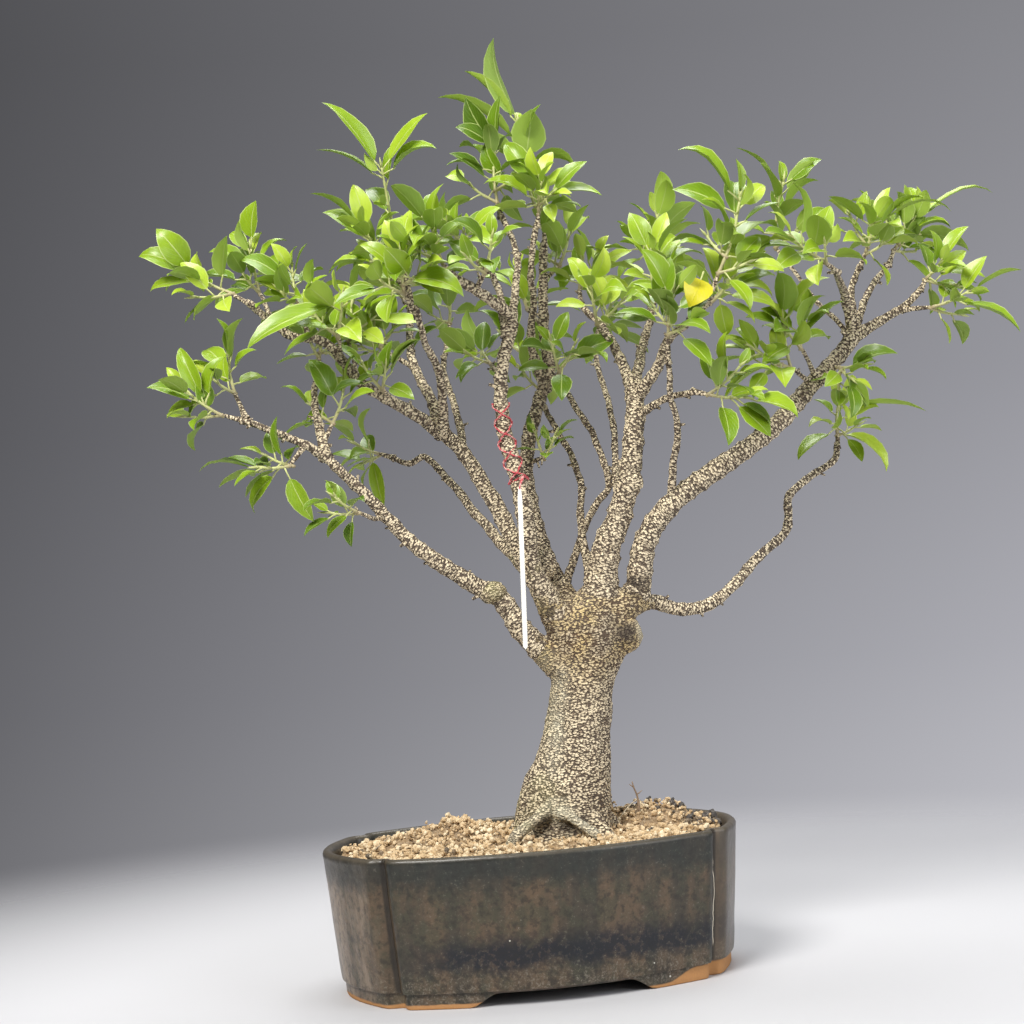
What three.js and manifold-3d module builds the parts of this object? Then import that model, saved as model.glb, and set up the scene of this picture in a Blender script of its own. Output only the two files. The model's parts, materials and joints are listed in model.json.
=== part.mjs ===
// A small-leaved fig grown as a bonsai, in a glazed stoneware pot with four lobes.
// Millimetres, +Z up, the pot's long side along X, its front towards -Y, its feet on Z = 0.
import * as THREE from "three";
import { mergeVertices } from "three/addons/utils/BufferGeometryUtils.js";
import Module from "manifold-3d";

const wasm = await Module();
wasm.setup();

// ---- driving dimensions ----
const GAP = 0.4; // clear space between pieces that touch
const POT_CENTRE = [-69, -21]; // the pot's middle, measured from the middle of the whole plant's box
const POT_LENGTH = 300; // over the rim
const POT_WIDTH = 228;
const POT_HEIGHT = 102;
const GROOVE = [122, 83]; // where two lobes meet, from the pot's middle
const GROOVE_DEPTH = 8;
const GROOVE_SPREAD = 6;
const FOOT_HEIGHT = 10.5;
const WALL_LEAN = 8; // how far the wall's base stands in from the rim
const WALL = 8;
const FLOOR = 9;
const FOOT_INSET = 11;
const FOOT_BAND = 15;
const ARCH = 129; // the gap between the two feet, along the pot's front and back
const ARCH_SLOPE = 20;
const DRAIN_RADIUS = 10;
const DRAIN_X = 62;
const SCREEN = [38, 34, 1];
const SOIL_TOP = 97;
const TREE_FOOT = [24, 4, 98]; // the foot of the trunk, from the pot's middle
const TREE_TURN = THREE.MathUtils.degToRad(-9.5); // the tree's own front, turned from the pot's
const TWIG = [2.2, 1.4]; // radii of a woody twig at its two ends
const STEM = [1.2, 0.7]; // radii of a green shoot
const LIMB_TAPER = 0.6; // below 1, a limb thins fast near its foot and slowly after
const GOLDEN_ANGLE = Math.PI * (3 - Math.sqrt(5));
const LEAF_THICKNESS = 1.3;

// ---- small helpers ----
const vector = (p) => new THREE.Vector3(...p);
const curveThrough = (points) => new THREE.CatmullRomCurve3(points.map(vector));
const UP = new THREE.Vector3(0, 0, 1);

function solidOf(geometry) {
  const bare = geometry.clone();
  bare.deleteAttribute("normal");
  bare.deleteAttribute("uv");
  const merged = mergeVertices(bare, 1e-3);
  return new wasm.Manifold(
    new wasm.Mesh({
      numProp: 3,
      vertProperties: merged.attributes.position.array,
      triVerts: new Uint32Array(merged.index.array),
    }),
  );
}

function geometryOf(solid) {
  const mesh = solid.getMesh();
  const geometry = new THREE.BufferGeometry();
  geometry.setAttribute("position", new THREE.BufferAttribute(mesh.vertProperties, 3));
  geometry.setIndex(new THREE.BufferAttribute(mesh.triVerts, 1));
  geometry.computeVertexNormals();
  return geometry;
}

const joined = (solids) => solids.reduce((whole, next) => whole.add(next));

// Moves every vertex of a geometry to where the function says.
function warp(geometry, move) {
  const position = geometry.attributes.position;
  const point = new THREE.Vector3();
  for (let i = 0; i < position.count; i += 1) {
    point.fromBufferAttribute(position, i);
    position.setXYZ(i, ...move(point));
  }
  return geometry;
}

// A round bar bent along a curve. radius(t, angle) may change along it and around it.
function bar(curve, radius, sides, steps) {
  const spots = curve.getSpacedPoints(steps);
  const frames = curve.computeFrenetFrames(steps, false);
  const straight = new THREE.CylinderGeometry(1, 1, 1, sides, steps);
  return warp(straight, (point) => {
    const step = Math.round((point.y + 0.5) * steps);
    const reach = radius(step / steps, Math.atan2(point.z, point.x));
    return spots[step]
      .clone()
      .addScaledVector(frames.binormals[step], point.x * reach)
      .addScaledVector(frames.normals[step], point.z * reach);
  });
}

// A limb's radius at t, from 0 at its foot to 1 at its end.
const thickness = ([foot, end], t) => THREE.MathUtils.lerp(foot, end, t ** LIMB_TAPER);

function limb({ points, radii, sides = 4, steps = points.length - 1 }, grow = 0) {
  return solidOf(bar(curveThrough(points), (t) => thickness(radii, t) + grow, sides, steps));
}

// ---- pot ----
const ARC_POINTS = 10;
const ROUND = 4 * ARC_POINTS;

// The rim's outline at u, from 0 to 1 round the pot, drawn in by an inset.
function outline(u, inset) {
  const side = Math.floor(u * 4) % 4;
  const along = u * 4 - Math.floor(u * 4);
  const t = 0.5 - 0.5 * Math.cos(Math.PI * along);
  const [gx, gy] = GROOVE;
  const corners = [[-gx, -gy], [gx, -gy], [gx, gy], [-gx, gy]];
  const a = corners[side];
  const b = corners[(side + 1) % 4];
  const chord = Math.hypot(b[0] - a[0], b[1] - a[1]);
  const normal = [(b[1] - a[1]) / chord, (a[0] - b[0]) / chord];
  const bulge = side % 2 ? POT_LENGTH / 2 - gx : POT_WIDTH / 2 - gy;
  const nearest = Math.min(t, 1 - t) * chord;
  const notch = GROOVE_DEPTH * Math.exp(-((nearest / GROOVE_SPREAD) ** 2));
  const out = bulge * Math.sin(Math.PI * t);
  const x = a[0] + (b[0] - a[0]) * t + normal[0] * out;
  const y = a[1] + (b[1] - a[1]) * t + normal[1] * out;
  const [halfLength, halfWidth] = [POT_LENGTH / 2, POT_WIDTH / 2];
  const drawnIn = inset + notch;
  return [x * (1 - drawnIn / halfLength), y * (1 - drawnIn / halfWidth)];
}

// A body turned from [inset, height] pairs and bent to the pot's outline; AXIS marks its middle.
const AXIS = 1000;
function lobed(profile) {
  const turned = profile.map(([inset, z]) => new THREE.Vector2(AXIS - inset, z));
  const lathe = new THREE.LatheGeometry(turned, ROUND);
  return solidOf(
    warp(lathe, (point) => {
      const reach = Math.hypot(point.x, point.z);
      if (reach < 1) {
        return [0, 0, point.y];
      }
      const u = (Math.atan2(point.x, point.z) / (2 * Math.PI) + 1) % 1;
      const spot = outline(Math.round(u * ROUND) / ROUND, AXIS - reach);
      return [...spot, point.y];
    }),
  );
}

function potSolid() {
  const floorTop = FOOT_HEIGHT + FLOOR;
  const body = lobed([
    [AXIS, FOOT_HEIGHT],
    [WALL_LEAN + 2.5, FOOT_HEIGHT],
    [WALL_LEAN, FOOT_HEIGHT + 3],
    [WALL_LEAN * 0.55, POT_HEIGHT * 0.5],
    [1.5, POT_HEIGHT - 12],
    [0, POT_HEIGHT - 5],
    [0.8, POT_HEIGHT - 1.2],
    [3, POT_HEIGHT],
    [6.5, POT_HEIGHT - 0.4],
    [8.5, POT_HEIGHT - 3],
    [8.2 + WALL_LEAN * 0.3, POT_HEIGHT * 0.7],
    [WALL_LEAN + WALL, floorTop + 4],
    [WALL_LEAN + WALL + 4, floorTop],
    [AXIS, floorTop],
  ]);
  const ring = lobed([
    [FOOT_INSET, 0],
    [FOOT_INSET - 0.5, FOOT_HEIGHT + 1],
    [FOOT_INSET + FOOT_BAND, FOOT_HEIGHT + 1],
    [FOOT_INSET + FOOT_BAND, 0],
    [FOOT_INSET, 0],
  ]);
  const shape = new THREE.Shape();
  shape.moveTo(-ARCH / 2, -1);
  shape.lineTo(ARCH / 2, -1);
  shape.lineTo(ARCH / 2 - ARCH_SLOPE, FOOT_HEIGHT);
  shape.lineTo(ARCH_SLOPE - ARCH / 2, FOOT_HEIGHT);
  const arch = new THREE.ExtrudeGeometry(shape, { depth: 2 * POT_LENGTH, bevelEnabled: false });
  arch.translate(0, 0, -POT_LENGTH);
  arch.rotateX(Math.PI / 2);
  const feet = ring.subtract(solidOf(arch));
  const drain = (x) => {
    const hole = new THREE.CylinderGeometry(DRAIN_RADIUS, DRAIN_RADIUS, 60, 20);
    hole.rotateX(Math.PI / 2);
    hole.translate(x, 0, FOOT_HEIGHT);
    return solidOf(hole);
  };
  return body.add(feet).subtract(drain(-DRAIN_X)).subtract(drain(DRAIN_X));
}

function screenSolid(x) {
  const plate = new THREE.BoxGeometry(...SCREEN);
  plate.translate(x, 0, FOOT_HEIGHT + FLOOR + GAP + SCREEN[2] / 2);
  return solidOf(plate);
}

// ---- tree: places are from the foot of the trunk, X to its right, Y to its back ----
// trunk: centre and radius, from under the soil to the crown of the fork
const TRUNK = [
  [-2, 2, -26, 37],
  [0, 0, -8, 37],
  [4, 0, 20, 34],
  [12, 0, 50, 27.5],
  [18, 0, 78, 24],
  [22, 0, 101, 23],
  [25, 0, 119, 25],
  [29, 0, 137, 29],
  [32, 0, 154, 27],
  [34, 0, 168, 17],
];

const LIMBS = {
  low_left: {
    radii: [10.5, 2],
    sides: 6,
    points: [[14, -2, 116], [-13, -12, 143], [-34, -18, 175], [-50, -20, 184], [-89, -30, 214],
      [-112, -36, 240], [-148, -50, 281], [-182, -65, 301], [-204, -70, 310]],
  },
  low_left_upright: {
    radii: [4, 2],
    points: [[-148, -50, 281], [-156, -24, 325], [-153, -4, 352]],
  },
  second_left: {
    radii: [6.2, 1.9],
    points: [[4, 0, 172], [-30, 20, 216], [-49, 32, 241], [-69, 46, 270], [-82, 55, 285],
      [-95, 58, 281], [-110, 64, 289]],
  },
  third_left: {
    radii: [9.2, 2.4],
    sides: 6,
    points: [[14, 0, 148], [-10, -4, 196], [-32, 2, 244], [-53, 4, 283], [-73, 0, 302],
      [-101, -14, 322], [-123, -22, 337], [-145, -32, 366], [-170, -40, 372], [-197, -50, 397]],
  },
  third_left_upright: {
    radii: [4.8, 2.2],
    points: [[-66, 2, 296], [-75, 22, 329], [-85, 42, 353], [-88, 60, 379], [-86, 68, 408], [-91, 50, 434]],
  },
  third_left_front: {
    radii: [4.4, 2],
    points: [[-66, 2, 296], [-64, -26, 333], [-73, -52, 359], [-77, -68, 382]],
  },
  third_left_back: {
    radii: [3.6, 1.9],
    points: [[-52, 4, 281], [-56, 46, 315], [-64, 84, 352], [-60, 110, 386]],
  },
  tied_leader: {
    radii: [9.2, 3.2],
    sides: 6,
    points: [[12, -4, 150], [-7, -22, 188], [-12, -24, 250], [-19, -28, 281], [-22, -32, 315],
      [-17, -36, 345], [-10, -38, 371], [-28, -54, 387], [-52, -70, 402]],
  },
  tied_leader_middle: {
    radii: [3.6, 1.9],
    points: [[-14, -38, 360], [-20, -26, 404], [-31, -18, 419]],
  },
  tied_leader_right: {
    radii: [3.4, 1.9],
    points: [[-10, -38, 368], [-6, -30, 392], [-3, -20, 422], [-12, -4, 456]],
  },
  tall_leader: {
    radii: [9, 3],
    sides: 6,
    points: [[20, 8, 156], [3, 22, 199], [-6, 28, 245], [-5, 32, 282], [7, 38, 320],
      [17, 42, 342], [15, 46, 370], [16, 50, 406], [20, 46, 442]],
  },
  tall_leader_twin: {
    radii: [3.8, 2.1],
    points: [[12, 40, 326], [4, 24, 363], [7, 16, 389], [8, 8, 420], [14, 2, 448]],
  },
  slim_right: {
    radii: [3.6, 2],
    points: [[35, 10, 180], [31, 24, 222], [33, 32, 260], [22, 40, 291], [8, 62, 322]],
  },
  slim_crossing: {
    radii: [3.2, 2],
    points: [[14, 16, 174], [29, 26, 212], [43, 20, 238], [53, 15, 250], [50, 14, 273],
      [38, 20, 303], [22, 34, 332], [4, 70, 354]],
  },
  centre_right: {
    radii: [13.5, 6.4],
    sides: 7,
    points: [[37, 0, 150], [46, -8, 201], [61, -14, 234], [71, -18, 274], [75, -18, 321]],
  },
  centre_right_back: {
    radii: [4.8, 2.1],
    points: [[75, -18, 316], [66, -4, 346], [57, 18, 370], [42, 46, 394]],
  },
  centre_right_far: {
    radii: [5, 2.1],
    points: [[75, -18, 316], [86, 16, 352], [96, 46, 378], [100, 80, 400]],
  },
  centre_right_front: {
    radii: [5, 2.1],
    points: [[75, -18, 310], [91, -34, 329], [100, -50, 348], [117, -70, 359], [130, -82, 374]],
  },
  centre_right_side: {
    radii: [3.4, 1.9],
    points: [[76, -18, 298], [94, -44, 306], [115, -68, 308]],
  },
  slim_upright: {
    radii: [3.2, 1.9],
    points: [[58, -2, 224], [59, 16, 261], [61, 28, 293], [58, 52, 324], [52, 88, 368]],
  },
  right: {
    radii: [10, 5.4],
    sides: 6,
    points: [[44, 0, 158], [66, -3, 170], [75, -10, 206], [94, -14, 231], [123, -18, 251],
      [152, -20, 268], [180, -16, 288], [207, -6, 314], [235, 4, 340], [243, 8, 356]],
  },
  right_left_fork: {
    radii: [4.4, 2],
    points: [[242, 8, 350], [234, -8, 378], [222, -50, 388]],
  },
  right_middle_fork: {
    radii: [4.2, 2],
    points: [[243, 8, 351], [246, 26, 384], [254, 24, 404]],
  },
  right_end: {
    radii: [4.8, 2.2],
    points: [[241, 8, 348], [259, 2, 356], [280, -6, 367], [291, -12, 378]],
  },
  right_far_fork: {
    radii: [3.4, 2],
    points: [[243, 8, 354], [261, 32, 385], [282, 46, 408]],
  },
  slim_front: {
    radii: [3.2, 1.9],
    points: [[96, -14, 232], [98, -30, 260], [102, -44, 282], [98, -60, 304], [96, -78, 334]],
  },
  low_right: {
    radii: [6.4, 2.3],
    points: [[46, 0, 154], [76, 6, 163], [98, 12, 156], [121, 18, 158], [142, 24, 172], [162, 30, 191],
      [183, 34, 207], [187, 36, 222], [189, 36, 235], [206, 40, 248], [225, 42, 259], [229, 42, 272]],
  },
};

// swellings and pruned stubs: where, how large
const KNOBS = [
  { at: [55, -4, 140], size: [15, 15, 14] },
  { at: [-37, -18, 178], size: [11, 11, 9] },
  { at: [1, 2, 196], size: [10, 10, 12] },
  { at: [70, -21, 250], size: [8, 6, 8] },
];

// roots that show above the soil and run down into it
const ROOTS = [
  {
    radii: [6.6, 4.4],
    points: [[4, -26, 38], [-2, -31, 28], [-16, -35, 17], [-34, -39, 4], [-46, -42, -16]],
  },
  {
    radii: [5.2, 4.2],
    points: [[-6, -30, 19], [2, -36, 17], [10, -41, 13], [18, -44, 7], [27, -45, -2], [33, -43, -18]],
  },
  { radii: [8, 5], points: [[20, -22, 14], [32, -32, 0], [42, -40, -18]] },
  { radii: [9, 5], points: [[24, 6, 16], [40, 12, 0], [54, 18, -18]] },
  { radii: [9, 5], points: [[-16, 10, 18], [-34, 18, 2], [-52, 24, -18]] },
  { radii: [9, 5], points: [[6, 22, 18], [8, 38, 2], [12, 54, -18]] },
];

function trunkSolid(grow) {
  const radii = new THREE.CatmullRomCurve3(TRUNK.map(([, , z, r]) => new THREE.Vector3(r, 0, z)));
  const flutes = (t, angle) => 1 + 0.05 * (1 - t) * Math.cos(5 * angle + 0.6);
  const girth = (t, angle) => radii.getPointAt(t).x * flutes(t, angle) + grow;
  return solidOf(bar(curveThrough(TRUNK.map((spot) => spot.slice(0, 3))), girth, 14, 10));
}

function rootsSolid(grow) {
  return joined(ROOTS.map((root) => limb({ ...root, sides: 5, steps: 4 }, grow)));
}

function knobSolid({ at, size }) {
  const ball = new THREE.SphereGeometry(1, 6, 4);
  ball.rotateX(Math.PI / 2);
  ball.scale(...size);
  ball.translate(...at);
  return solidOf(ball);
}

// ---- leafy shoots ----
// twig: a woody spur from its limb to the green shoot's foot; tip: the shoot's end.
// leaves and size: how many leaves the spiral holds, and their length.
// own: leaves placed one by one, each [foot, tip, width].
const SHOOTS = {
  low_left_end: {
    twig: [[-196, -69, 308], [-216, -73, 314]],
    tip: [-240, -80, 334],
    leaves: 3,
    size: 38,
    own: [[[-230, -76, 326], [-264, -85, 338], 15], [[-228, -72, 324], [-242, -72, 366], 15]],
  },
  low_left_top: {
    twig: [[-200, -70, 311], [-208, -58, 330]],
    tip: [-211, -56, 360],
    leaves: 4,
    size: 38,
    own: [[[-210, -58, 348], [-199, -62, 384], 26]],
  },
  low_left_hanging: {
    twig: [[-162, -57, 290], [-172, -68, 276]],
    tip: [-193, -74, 276],
    leaves: 3,
    size: 40,
    own: [[[-190, -73, 277], [-236, -76, 277], 13], [[-186, -72, 275], [-222, -64, 264], 16],
      [[-178, -70, 274], [-159, -64, 236], 16]],
  },
  low_left_spur: {
    twig: [[-110, -35, 237], [-118, -50, 236], [-128, -64, 241]],
    tip: [-142, -76, 252],
    leaves: 3,
    size: 30,
    own: [],
  },
  second_left_end: {
    twig: [[-106, 62, 286], [-118, 66, 291]],
    tip: [-136, 68, 300],
    leaves: 3,
    size: 36,
    own: [[[-127, 66, 292], [-114, 62, 246], 13]],
  },
  third_left_end: {
    twig: [[-190, -47, 390], [-207, -40, 404]],
    tip: [-238, -36, 424],
    leaves: 4,
    size: 40,
    own: [[[-234, -36, 420], [-274, -36, 440], 17], [[-232, -30, 418], [-270, -26, 410], 13]],
  },
  third_left_top: {
    twig: [[-180, -43, 382], [-192, -10, 408]],
    tip: [-198, 4, 444],
    leaves: 5,
    size: 42,
    own: [[[-198, 4, 444], [-190, 2, 479], 28]],
  },
  third_left_middle: {
    twig: [[-156, -35, 367], [-160, -28, 390]],
    tip: [-166, -22, 424],
    leaves: 6,
    size: 40,
    own: [],
  },
  third_left_near: {
    twig: [[-134, -27, 351], [-134, -50, 366]],
    tip: [-127, -70, 392],
    leaves: 3,
    size: 40,
    own: [[[-128, -70, 390], [-194, -84, 356], 22]],
  },
  third_left_far: {
    twig: [[-124, -22, 338], [-132, 24, 372]],
    tip: [-129, 42, 408],
    leaves: 6,
    size: 42,
    own: [],
  },
  upright_end: {
    twig: [[-154, -8, 348], [-153, 0, 358]],
    tip: [-150, 14, 384],
    leaves: 5,
    size: 38,
    own: [],
  },
  upright_low: {
    twig: [[-150, -44, 292], [-143, -38, 306]],
    tip: [-134, -26, 332],
    leaves: 5,
    size: 40,
    own: [],
  },
  top_left: {
    twig: [[-90, 55, 428], [-91, 48, 444]],
    tip: [-98, 14, 500],
    leaves: 2,
    size: 36,
    own: [[[-99, 14, 500], [-139, 8, 551], 20], [[-98, 18, 492], [-145, 12, 516], 22],
      [[-97, 12, 502], [-62, 8, 538], 20], [[-96, 16, 496], [-56, 4, 510], 20]],
  },
  top_left_cluster: {
    twig: [[-88, 64, 416], [-100, 46, 428]],
    tip: [-115, 26, 460],
    leaves: 6,
    size: 42,
    own: [[[-116, 24, 462], [-154, 20, 485], 14]],
  },
  left_back: {
    twig: [[-86, 66, 398], [-92, 88, 412]],
    tip: [-90, 108, 446],
    leaves: 6,
    size: 42,
    own: [],
  },
  left_front: {
    twig: [[-76, -62, 374], [-84, -74, 392]],
    tip: [-84, -84, 416],
    leaves: 5,
    size: 42,
    own: [[[-82, -78, 404], [-40, -92, 384], 22]],
  },
  left_low_front: {
    twig: [[-102, -14, 322], [-106, -28, 330]],
    tip: [-102, -44, 344],
    leaves: 3,
    size: 36,
    own: [[[-104, -34, 334], [-74, -50, 362], 15]],
  },
  left_middle: {
    twig: [[-86, 42, 353], [-108, 40, 366]],
    tip: [-114, 44, 388],
    leaves: 5,
    size: 38,
    own: [],
  },
  back_left: {
    twig: [[-60, 108, 382], [-58, 114, 394]],
    tip: [-56, 126, 424],
    leaves: 7,
    size: 42,
    own: [],
  },
  tied_leader_end: {
    twig: [[-46, -66, 398], [-56, -74, 410]],
    tip: [-62, -84, 440],
    leaves: 6,
    size: 42,
    own: [[[-56, -74, 424], [-52, -96, 462], 13]],
  },
  tied_leader_side: {
    twig: [[-34, -58, 391], [-26, -74, 402]],
    tip: [-20, -88, 422],
    leaves: 4,
    size: 38,
    own: [],
  },
  tied_middle_end: {
    twig: [[-27, -20, 413], [-40, -14, 432]],
    tip: [-54, -34, 448],
    leaves: 5,
    size: 40,
    own: [[[-54, -36, 448], [-96, -52, 412], 18]],
  },
  second_leader_end: {
    twig: [[-12, -5, 452], [-14, 0, 464]],
    tip: [-11, 4, 514],
    leaves: 4,
    size: 40,
    own: [[[-12, 2, 508], [-42, -4, 520], 16], [[-11, 2, 506], [-7, -2, 544], 15],
      [[-13, 0, 488], [-50, -14, 492], 15]],
  },
  leader_end: {
    twig: [[20, 46, 438], [20, 44, 450]],
    tip: [7, 38, 532],
    leaves: 3,
    size: 40,
    own: [[[6, 38, 532], [-9, 34, 598], 26], [[8, 38, 528], [-30, 30, 575], 15],
      [[9, 40, 518], [-54, 30, 554], 18], [[14, 38, 500], [20, 26, 538], 28],
      [[13, 42, 508], [48, 36, 494], 20]],
  },
  leader_twin_end: {
    twig: [[14, 3, 444], [16, 0, 456]],
    tip: [20, -6, 478],
    leaves: 5,
    size: 42,
    own: [[[20, -2, 466], [64, -6, 464], 20], [[12, -6, 460], [-32, -18, 448], 19]],
  },
  leader_right: {
    twig: [[17, 48, 412], [30, 58, 424]],
    tip: [40, 62, 452],
    leaves: 5,
    size: 42,
    own: [],
  },
  leader_back: {
    twig: [[15, 46, 376], [4, 80, 396]],
    tip: [-2, 98, 430],
    leaves: 7,
    size: 42,
    own: [],
  },
  tied_leader_low: {
    twig: [[-20, -34, 330], [-28, 30, 350]],
    tip: [-36, 58, 372],
    leaves: 5,
    size: 40,
    own: [],
  },
  leader_low_front: {
    twig: [[8, 38, 322], [22, 0, 336]],
    tip: [34, -24, 352],
    leaves: 3,
    size: 38,
    own: [],
  },
  leader_small: {
    twig: [[-6, 32, 272], [8, 14, 276]],
    tip: [16, 4, 290],
    leaves: 2,
    size: 24,
    own: [[[15, 4, 288], [34, 0, 300], 14]],
  },
  slim_right_end: {
    twig: [[10, 58, 317], [8, 72, 332]],
    tip: [16, 90, 356],
    leaves: 5,
    size: 40,
    own: [],
  },
  slim_crossing_end: {
    twig: [[6, 66, 352], [0, 92, 362]],
    tip: [-18, 116, 384],
    leaves: 5,
    size: 42,
    own: [],
  },
  centre_back_end: {
    twig: [[44, 42, 391], [44, 52, 404]],
    tip: [62, 72, 434],
    leaves: 7,
    size: 42,
    own: [],
  },
  centre_back_low: {
    twig: [[66, -4, 346], [52, -20, 366]],
    tip: [48, -40, 394],
    leaves: 5,
    size: 42,
    own: [],
  },
  centre_far_end: {
    twig: [[99, 74, 396], [106, 78, 416]],
    tip: [110, 76, 462],
    leaves: 6,
    size: 42,
    own: [[[111, 76, 462], [112, 70, 495], 20]],
  },
  centre_far_low: {
    twig: [[88, 22, 355], [98, 10, 386]],
    tip: [98, 6, 424],
    leaves: 7,
    size: 42,
    own: [],
  },
  slim_upright_end: {
    twig: [[53, 84, 364], [60, 104, 382]],
    tip: [74, 118, 408],
    leaves: 7,
    size: 42,
    own: [],
  },
  front_right_end: {
    twig: [[128, -80, 371], [134, -86, 386]],
    tip: [153, -88, 438],
    leaves: 5,
    size: 44,
    own: [[[152, -88, 438], [111, -96, 474], 22], [[148, -88, 428], [107, -92, 448], 22]],
  },
  front_right_side: {
    twig: [[114, -68, 358], [132, -54, 372]],
    tip: [152, -46, 398],
    leaves: 6,
    size: 42,
    own: [],
  },
  front_right_low: {
    twig: [[112, -66, 308], [124, -74, 304]],
    tip: [146, -80, 300],
    leaves: 3,
    size: 38,
    own: [[[138, -78, 302], [160, -82, 270], 20], [[146, -80, 301], [183, -84, 284], 22]],
  },
  front_slim_end: {
    twig: [[96, -74, 328], [97, -84, 346]],
    tip: [102, -92, 376],
    leaves: 6,
    size: 42,
    own: [],
  },
  right_top: {
    twig: [[240, 6, 347], [214, 22, 384], [192, 24, 420]],
    tip: [200, 14, 468],
    leaves: 3,
    size: 42,
    own: [[[199, 14, 466], [165, 6, 494], 9], [[200, 14, 466], [230, 8, 480], 16],
      [[194, 18, 446], [226, 6, 466], 17]],
  },
  right_left_end: {
    twig: [[224, -46, 387], [212, -62, 394]],
    tip: [190, -70, 410],
    leaves: 6,
    size: 42,
    own: [],
  },
  right_middle_end: {
    twig: [[253, 24, 400], [258, 20, 412]],
    tip: [264, 12, 434],
    leaves: 5,
    size: 44,
    own: [[[266, 12, 430], [321, 0, 438], 22], [[262, 14, 428], [230, 4, 452], 22]],
  },
  right_far_end: {
    twig: [[279, 44, 404], [286, 48, 418]],
    tip: [302, 48, 440],
    leaves: 5,
    size: 42,
    own: [[[302, 48, 440], [364, 40, 456], 15], [[296, 44, 430], [340, 34, 412], 20]],
  },
  right_end_tuft: {
    twig: [[289, -11, 375], [294, -14, 384]],
    tip: [302, -20, 392],
    leaves: 4,
    size: 36,
    own: [],
  },
  right_tip: {
    twig: [[276, -5, 363], [296, -18, 362]],
    tip: [320, -28, 370],
    leaves: 2,
    size: 34,
    own: [[[316, -27, 371], [359, -34, 382], 11], [[310, -24, 366], [354, -34, 338], 20]],
  },
  right_inner: {
    twig: [[210, -5, 316], [198, -20, 338]],
    tip: [182, -30, 362],
    leaves: 4,
    size: 40,
    own: [[[184, -30, 356], [218, -40, 387], 19], [[194, -24, 346], [231, -32, 368], 13]],
  },
  right_inner_low: {
    twig: [[206, -6, 313], [190, -22, 324]],
    tip: [158, -34, 342],
    leaves: 5,
    size: 42,
    own: [],
  },
  right_outer: {
    twig: [[222, -2, 328], [226, -14, 322]],
    tip: [232, -20, 314],
    leaves: 2,
    size: 34,
    own: [[[229, -16, 324], [266, -26, 330], 19]],
  },
  low_right_end: {
    twig: [[229, 42, 268], [230, 42, 280]],
    tip: [233, 38, 306],
    leaves: 3,
    size: 34,
    own: [[[233, 40, 298], [296, 30, 293], 10], [[230, 38, 274], [264, 26, 248], 19],
      [[228, 38, 274], [196, 28, 260], 16]],
  },
};

function turnedAside(direction, axis) {
  return direction.clone().addScaledVector(axis, -direction.dot(axis)).normalize();
}

// One leaf: a thin six-sided lens from its foot to its tip, arched a little and facing up.
function leafSolid(foot, tip, width, roll, grow = 0) {
  const along = tip.clone().sub(foot);
  const length = along.length();
  along.normalize();
  const lying = Math.abs(along.z) > 0.97 ? new THREE.Vector3(0, -1, 0) : UP;
  const face = turnedAside(lying, along).applyAxisAngle(along, roll);
  const across = new THREE.Vector3().crossVectors(face, along);
  const lens = new THREE.SphereGeometry(1, 6, 2);
  lens.rotateX(Math.PI / 2);
  return solidOf(
    warp(lens, (point) => {
      const t = 0.5 + 0.5 * point.x;
      const arch = 0.08 * length * (1 - point.x * point.x);
      return foot
        .clone()
        .addScaledVector(along, (t + 0.05 * (1 - point.x * point.x)) * length)
        .addScaledVector(across, point.y * (0.577 * width + grow))
        .addScaledVector(face, point.z * (LEAF_THICKNESS / 2 + grow) + arch);
    }),
  );
}

const boxesMeet = (a, b) => a.min.every((low, i) => low < b.max[i] && b.min[i] < a.max[i]);

function isClear(solid, placed) {
  const box = solid.boundingBox();
  return placed.every((other) => !boxesMeet(box, other.box) || solid.intersect(other.solid).isEmpty());
}

const entry = (solid) => ({ solid, box: solid.boundingBox() });

// A green shoot with its leaves, as one body. A leaf that would touch a neighbour is rolled or turned aside.
function shootSolid({ twig, tip, leaves, size, own }, placed) {
  const foot = vector(twig[twig.length - 1]);
  const axis = vector(tip).sub(foot).normalize();
  const start = foot.clone().addScaledVector(axis, 3 * GAP);
  const end = vector(tip);
  const stem = new THREE.LineCurve3(start, end);
  const parts = [solidOf(bar(stem, (t) => THREE.MathUtils.lerp(...STEM, t), 3, 1))];
  const sideways = turnedAside(Math.abs(axis.x) > 0.9 ? UP : new THREE.Vector3(1, 0, 0), axis);
  const tryLeaf = (place) => {
    for (let attempt = 0; attempt < 7; attempt += 1) {
      const [from, to, width, roll] = place(attempt);
      if (isClear(leafSolid(from, to, width, roll, GAP), placed)) {
        parts.push(leafSolid(from, to, width, roll));
        return;
      }
    }
  };
  const middle = new THREE.Line3(start, end);
  own.forEach(([from, to, width]) => {
    const share = THREE.MathUtils.clamp(middle.closestPointToPointParameter(vector(from), true), 0.15, 0.95);
    const onStem = middle.at(share, new THREE.Vector3());
    tryLeaf((attempt) => [onStem, vector(to), width, 0.35 * attempt]);
  });
  for (let i = 0; i < leaves; i += 1) {
    const t = (i + 0.5) / leaves;
    const lean = THREE.MathUtils.lerp(1.45, 0.5, t);
    tryLeaf((attempt) => {
      const spoke = sideways.clone().applyAxisAngle(axis, GOLDEN_ANGLE * i + 0.4 * attempt);
      const from = start.clone().lerp(end, 0.25 + 0.72 * t);
      const aim = axis.clone().multiplyScalar(Math.cos(lean)).addScaledVector(spoke, Math.sin(lean));
      aim.z -= 0.12;
      const length = size * (0.86 + 0.2 * Math.sin(2.4 * i));
      return [from, from.clone().addScaledVector(aim.normalize(), length), 0.46 * length, 0];
    });
  }
  return joined(parts);
}

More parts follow.
